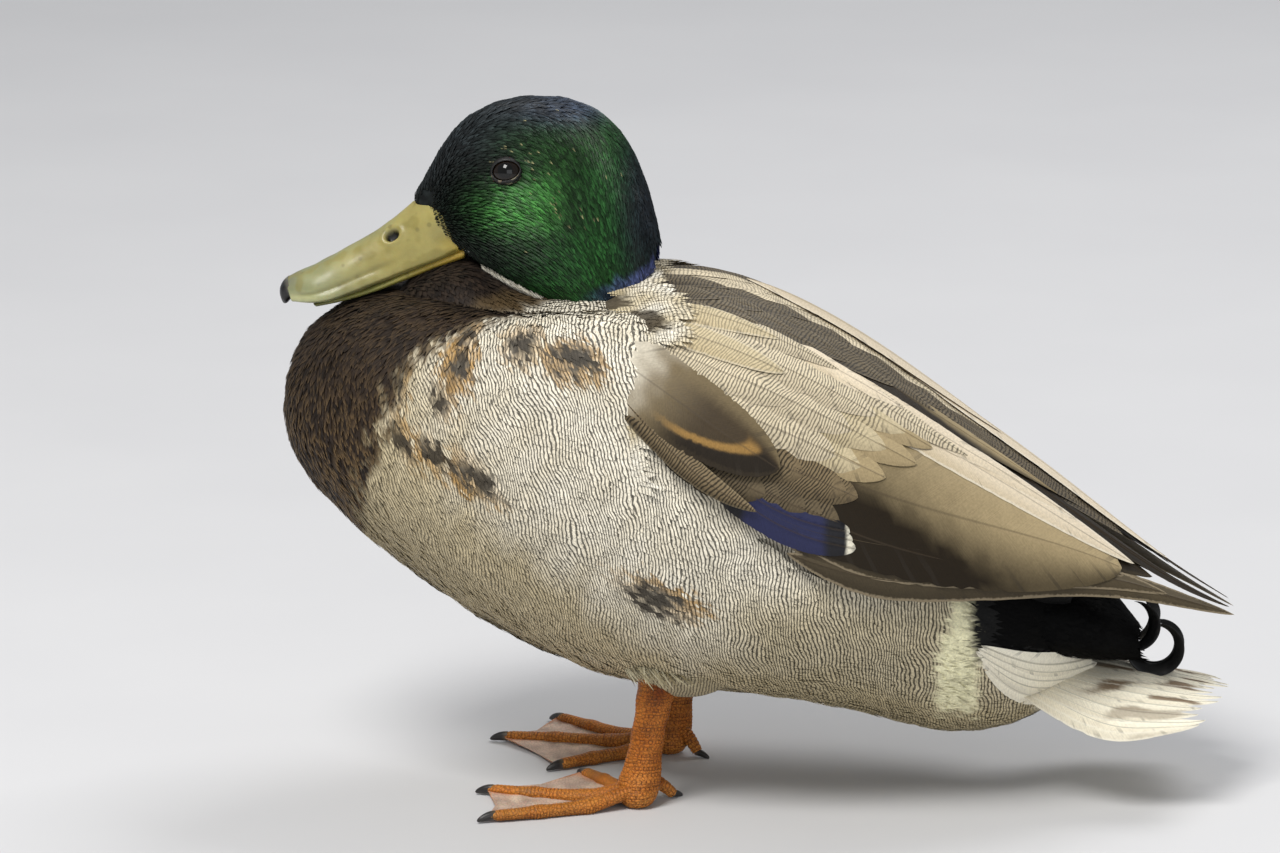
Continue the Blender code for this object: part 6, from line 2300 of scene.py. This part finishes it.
@dataclass
class Skin:
    """The bird's one skin: closed parts merged on a fine grid, smoothed, and tinted as the coat over it."""

    grid: float = 1.7
    rounds: int = 8
    trunk_depth: float = 2.3
    head_depth: float = 1.1
    neck_depth: float = 1.8
    wing_depth: float = 4.6
    tail_depth: float = 2.2
    tail_thickness: float = 5.0
    samples: int = 9000
    shadow: float = 0.72

    def shell(self, surface: Surface, along: tuple[float, float], depth: float, rows: int = 90) -> Draft:
        """A surface drawn inward along its normals by the coat's depth, and closed."""
        place = np.linspace(*along, rows)[:, None]
        place, turn = np.broadcast_arrays(place, np.linspace(-180.0, 180.0, 97)[:-1])
        rings = surface.at(place, turn) - surface.slopes(place, turn)[2] * depth
        return tube(rings, np.zeros(rings.shape))

    def under_wings(self) -> Draft:
        """Flesh under the folded wings: the roof's sections, lowered and closed below, thin at the rear."""
        place = np.linspace(-40.0, 112.0, 70)[:, None]
        place, turn = np.broadcast_arrays(place, np.linspace(-80.0, 80.0, 80))
        upper = ROOF.at(place, turn) - ROOF.slopes(place, turn)[2] * self.wing_depth
        lower = upper[:, ::-1] * (0.55, 1.0, 1.0)
        lower[..., 2] = ROOF.widest(place) - 29.0 + 22.0 * eased(58.0, 80.0, place)
        return tube(np.concatenate((upper, lower), axis=1), np.zeros((70, 160, 3)))

    def lump(self, centre: tuple[float, ...], radii: tuple[float, ...]) -> Draft:
        """A rounded mass: polar rings scaled along each axis."""
        polar, turn = np.broadcast_arrays(np.linspace(0.03, np.pi - 0.03, 40)[:, None], around(48))
        ray = np.stack((np.sin(polar) * np.cos(turn), np.sin(polar) * np.sin(turn), np.cos(polar)), axis=-1)
        return tube(np.array(centre) + ray * radii, np.zeros(ray.shape))

    def tail_root(self) -> Draft:
        """Flesh of the tail: the vault's inner part as a thick slab."""
        upper = TAIL.at(np.linspace(80.0, 118.0, 24)[:, None], np.linspace(-0.72, 0.72, 40))
        upper = upper - (0.0, 0.0, self.tail_depth)
        lower = upper[:, ::-1] - (0.0, 0.0, self.tail_thickness)
        return tube(np.concatenate((upper, lower), axis=1), np.zeros((24, 80, 3)))

    def parts(self) -> list[Draft]:
        """Every closed part of the flesh."""
        return [
            self.shell(TRUNK, (0.004, 0.992), self.trunk_depth),
            self.shell(HEAD, (0.012, 0.985), self.head_depth),
            self.lump((0.0, -66.0, 178.0), (17.0, 20.0, 16.0)),
            self.lump((0.0, -112.5, 204.0), (6.5, 5.2, 5.0)),
            self.shell(THROAT, (0.03, 0.97), self.neck_depth, 50),
            self.under_wings(),
            self.shell(RUMP, (0.02, 0.97), self.neck_depth, 40),
            self.tail_root(),
            self.lump((34.0, -22.0, 60.0), (17.0, 24.0, 22.0)),
            self.lump((-28.0, -17.0, 60.0), (17.0, 24.0, 22.0)),
        ]

    def merged(self) -> Mesh:
        """One watertight mesh round all the parts, from a voxel remesh and a light smoothing."""
        mesh = join(self.parts()).mesh("skin_parts", FEATHER_CREASE)
        holder = bpy.data.objects.new("skin_parts", mesh)
        bpy.context.scene.collection.objects.link(holder)
        remesh = holder.modifiers.new("merge", "REMESH")
        remesh.mode = "VOXEL"
        remesh.voxel_size = self.grid * MM
        smooth = holder.modifiers.new("smooth", "SMOOTH")
        smooth.factor = 0.5
        smooth.iterations = self.rounds
        bpy.context.view_layer.update()
        graph = bpy.context.evaluated_depsgraph_get()
        made = bpy.data.meshes.new_from_object(holder.evaluated_get(graph))
        bpy.data.objects.remove(holder)
        bpy.data.meshes.remove(mesh)
        made.name = "skin"
        return made

    def build(self, coats: list[Draft], material: Material) -> None:
        """Makes the skin and takes its tint from the nearest coat.

        Args:
            coats: drafts of the feathers over it.
            material: its finish.
        """
        made = self.merged()
        flat = np.empty(len(made.vertices) * 3, np.float32)
        made.vertices.foreach_get("co", flat)
        draw = np.random.default_rng(77)
        counts = [len(coat.points) for coat in coats]
        picks = [draw.choice(count, min(self.samples, count // 6), replace=False) for count in counts]
        points, tints, lines = (
            np.concatenate([read(coat)[pick] for coat, pick in zip(coats, picks)])
            for read in (lambda coat: coat.points, lambda coat: coat.tint, lambda coat: coat.values["Bars"]))
        found = nearest(flat.reshape(-1, 3) / MM, points)
        tint = np.concatenate((tints[found] * self.shadow, np.ones((len(found), 1))), axis=1)
        made.color_attributes.new("Tint", "FLOAT_COLOR", "POINT").data.foreach_set(
            "color", tint.astype(np.float32).ravel())
        bars = lines[found].astype(np.float32)
        made.attributes.new("Bars", "FLOAT", "POINT").data.foreach_set("value", bars)
        made.shade_smooth()
        shown("skin", made, material, ("trunk", "head", "neck", "collar"))


# ---- studio ------------------------------------------------------------------------------


@dataclass
class Studio:
    """Plain floor, soft light and the camera."""

    azimuth: float = 94.0
    elevation: float = 13.5
    distance: float = 2.4
    aim: tuple[float, float, float] = (0.0, -0.0402, 0.1247)
    lens: float = 195.65
    floor_half: float = 9.0

    def heading(self, azimuth: float, elevation: float) -> Array:
        """Unit vector from the aim point toward a place seen at an azimuth and elevation."""
        turn, rise = np.radians(azimuth), np.radians(elevation)
        return np.array((np.sin(turn) * np.cos(rise), -np.cos(turn) * np.cos(rise), np.sin(rise)))

    def place(self, thing: bpy.types.Object, azimuth: float, elevation: float, distance: float) -> None:
        """Sets a camera or lamp at a distance, looking at the aim point.

        Its axes are: back, the heading; right, level and square to it; up, back x right.
        """
        back = self.heading(azimuth, elevation)
        right = unit(np.cross((0.0, 0.0, 1.0), back))
        up = np.cross(back, right)
        matrix = np.eye(4)
        matrix[:3, :3] = np.stack((right, up, back), axis=1)
        matrix[:3, 3] = np.array(self.aim) + back * distance
        thing.matrix_world = matrix.T
        bpy.context.scene.collection.objects.link(thing)

    def lamp(self, name: str, azimuth: float, elevation: float, distance: float, size: float, power: float,
             colour: tuple[float, float, float]) -> None:
        """Adds one square area light."""
        data = bpy.data.lights.new(name, "AREA")
        data.size = size
        data.energy = power
        data.color = colour
        self.place(bpy.data.objects.new(name, data), azimuth, elevation, distance)

    def build(self) -> None:
        """Makes floor, lights, surroundings and camera."""
        half = self.floor_half
        mesh = bpy.data.meshes.new("floor")
        mesh.from_pydata(((-half, -half, 0.0), (half, -half, 0.0), (half, half, 0.0), (-half, half, 0.0)), (),
                         ((0, 1, 2, 3),))
        mesh.materials.append(FloorFinish().material())
        floor = bpy.data.objects.new("floor", mesh)
        bpy.context.scene.collection.objects.link(floor)
        self.lamp("key_light", 62.0, 55.0, 2.2, 0.9, 43.0, (1.0, 0.985, 0.955))
        self.lamp("fill_light", 110.0, 8.0, 2.6, 1.8, 14.0, (0.94, 0.97, 1.0))
        self.lamp("rim_light", 235.0, 55.0, 2.4, 1.2, 26.0, (1.0, 1.0, 1.0))
        bpy.context.scene.view_settings.view_transform = "Standard"
        world = bpy.data.worlds.new("studio")
        world.use_nodes = True
        world.node_tree.nodes["Background"].inputs["Color"].default_value = (0.86, 0.88, 0.91, 1.0)
        world.node_tree.nodes["Background"].inputs["Strength"].default_value = 0.38
        bpy.context.scene.world = world
        camera = bpy.data.cameras.new("camera")
        camera.lens = self.lens
        camera.sensor_width = 36.0
        camera.clip_start = 0.05
        holder = bpy.data.objects.new("camera", camera)
        self.place(holder, self.azimuth, self.elevation, self.distance)
        bpy.context.scene.camera = holder


# ---- the whole bird ----------------------------------------------------------------------


def finishes() -> dict[str, Material]:
    """Every material but the floor's, by a short name."""
    return {
        "green": PlumageFinish("green_plumage", 0.5, 0.0, 0.1, 0.22, dark=0.5).material(),
        "soft": PlumageFinish("soft_plumage").material(),
        "scapular": PlumageFinish("scapular_vanes", 0.55, period=1.15, centre=(0.0, -220.0, 260.0), dark=0.24,
                                  pale=1.14, grain=0.10, vaned=True).material(),
        "vane": PlumageFinish("brown_vanes", 0.5, period=1.2, centre=(0.0, -220.0, 260.0), grain=0.08,
                              vaned=True).material(),
        "mirror": PlumageFinish("mirror_vanes", 0.36, 0.0, 0.2, 0.35, grain=0.08, vaned=True).material(),
        "tail": PlumageFinish("tail_vanes", 0.6, grain=0.06, vaned=True).material(),
        "black": PlumageFinish("black_plumage", 0.6, 0.0, 0.0, 0.04, grain=0.25).material(),
        "curl": PlumageFinish("curl_vanes", 0.4, 0.0, 0.0, 0.3, grain=0.2, vaned=True).material(),
        "bill": HornFinish("bill_horn", mottle=0.10, spots=0.35).material(),
        "dark": HornFinish("dark_horn", 0.38, 0.3, 0.2, 0.2, 1.5).material(),
        "lid": HornFinish("lid_skin", 0.55, 0.1, 0.2, 0.0, 0.8).material(),
        "eye": EyeFinish().material(),
        "leg": ScaleFinish("leg_skin").material(),
        "web": ScaleFinish("web_skin", 0.55, 1.3, 0.22).material(),
    }


def main() -> None:
    """Builds the bird from its coat inward, then the studio."""
    logging.basicConfig(level=logging.INFO, format="%(message)s")
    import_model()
    looks = finishes()
    coats = HeadCoat().build(looks["green"], looks["soft"])
    coats += BodyCoat().build(looks["soft"], looks["black"])
    coats += Mantle().build(looks["vane"], looks["soft"])
    for side in (1.0, -1.0):
        coats += FoldedWing(side).build(looks)
    coats += Tail().build(looks["tail"], looks["curl"])
    Skin().build(coats, looks["soft"])
    Bill().build(looks["bill"], looks["dark"])
    for side in (1.0, -1.0):
        Eye(side).build(looks["eye"], looks["lid"])
    Foot(1.0, (39.5, -37.6), (38.0, -29.8), ((23.0, -50.0), (-9.5, -53.5), (-33.0, -22.0)),
         (-10.5, 10.5)).build(looks["leg"], looks["web"], looks["dark"])
    Foot(-1.0, (-27.5, -31.0), (-31.0, -25.0), ((-35.0, -43.0), (-9.0, -61.0), (26.0, -38.5)),
         (5.0, 9.5)).build(looks["leg"], looks["web"], looks["dark"])
    ThighDown(1.0, (38.0, -31.0)).build(looks["soft"])
    ThighDown(-1.0, (-31.0, -25.0)).build(looks["soft"])
    Studio().build()
    bpy.context.view_layer.update()


if __name__ == "__main__":
    main()
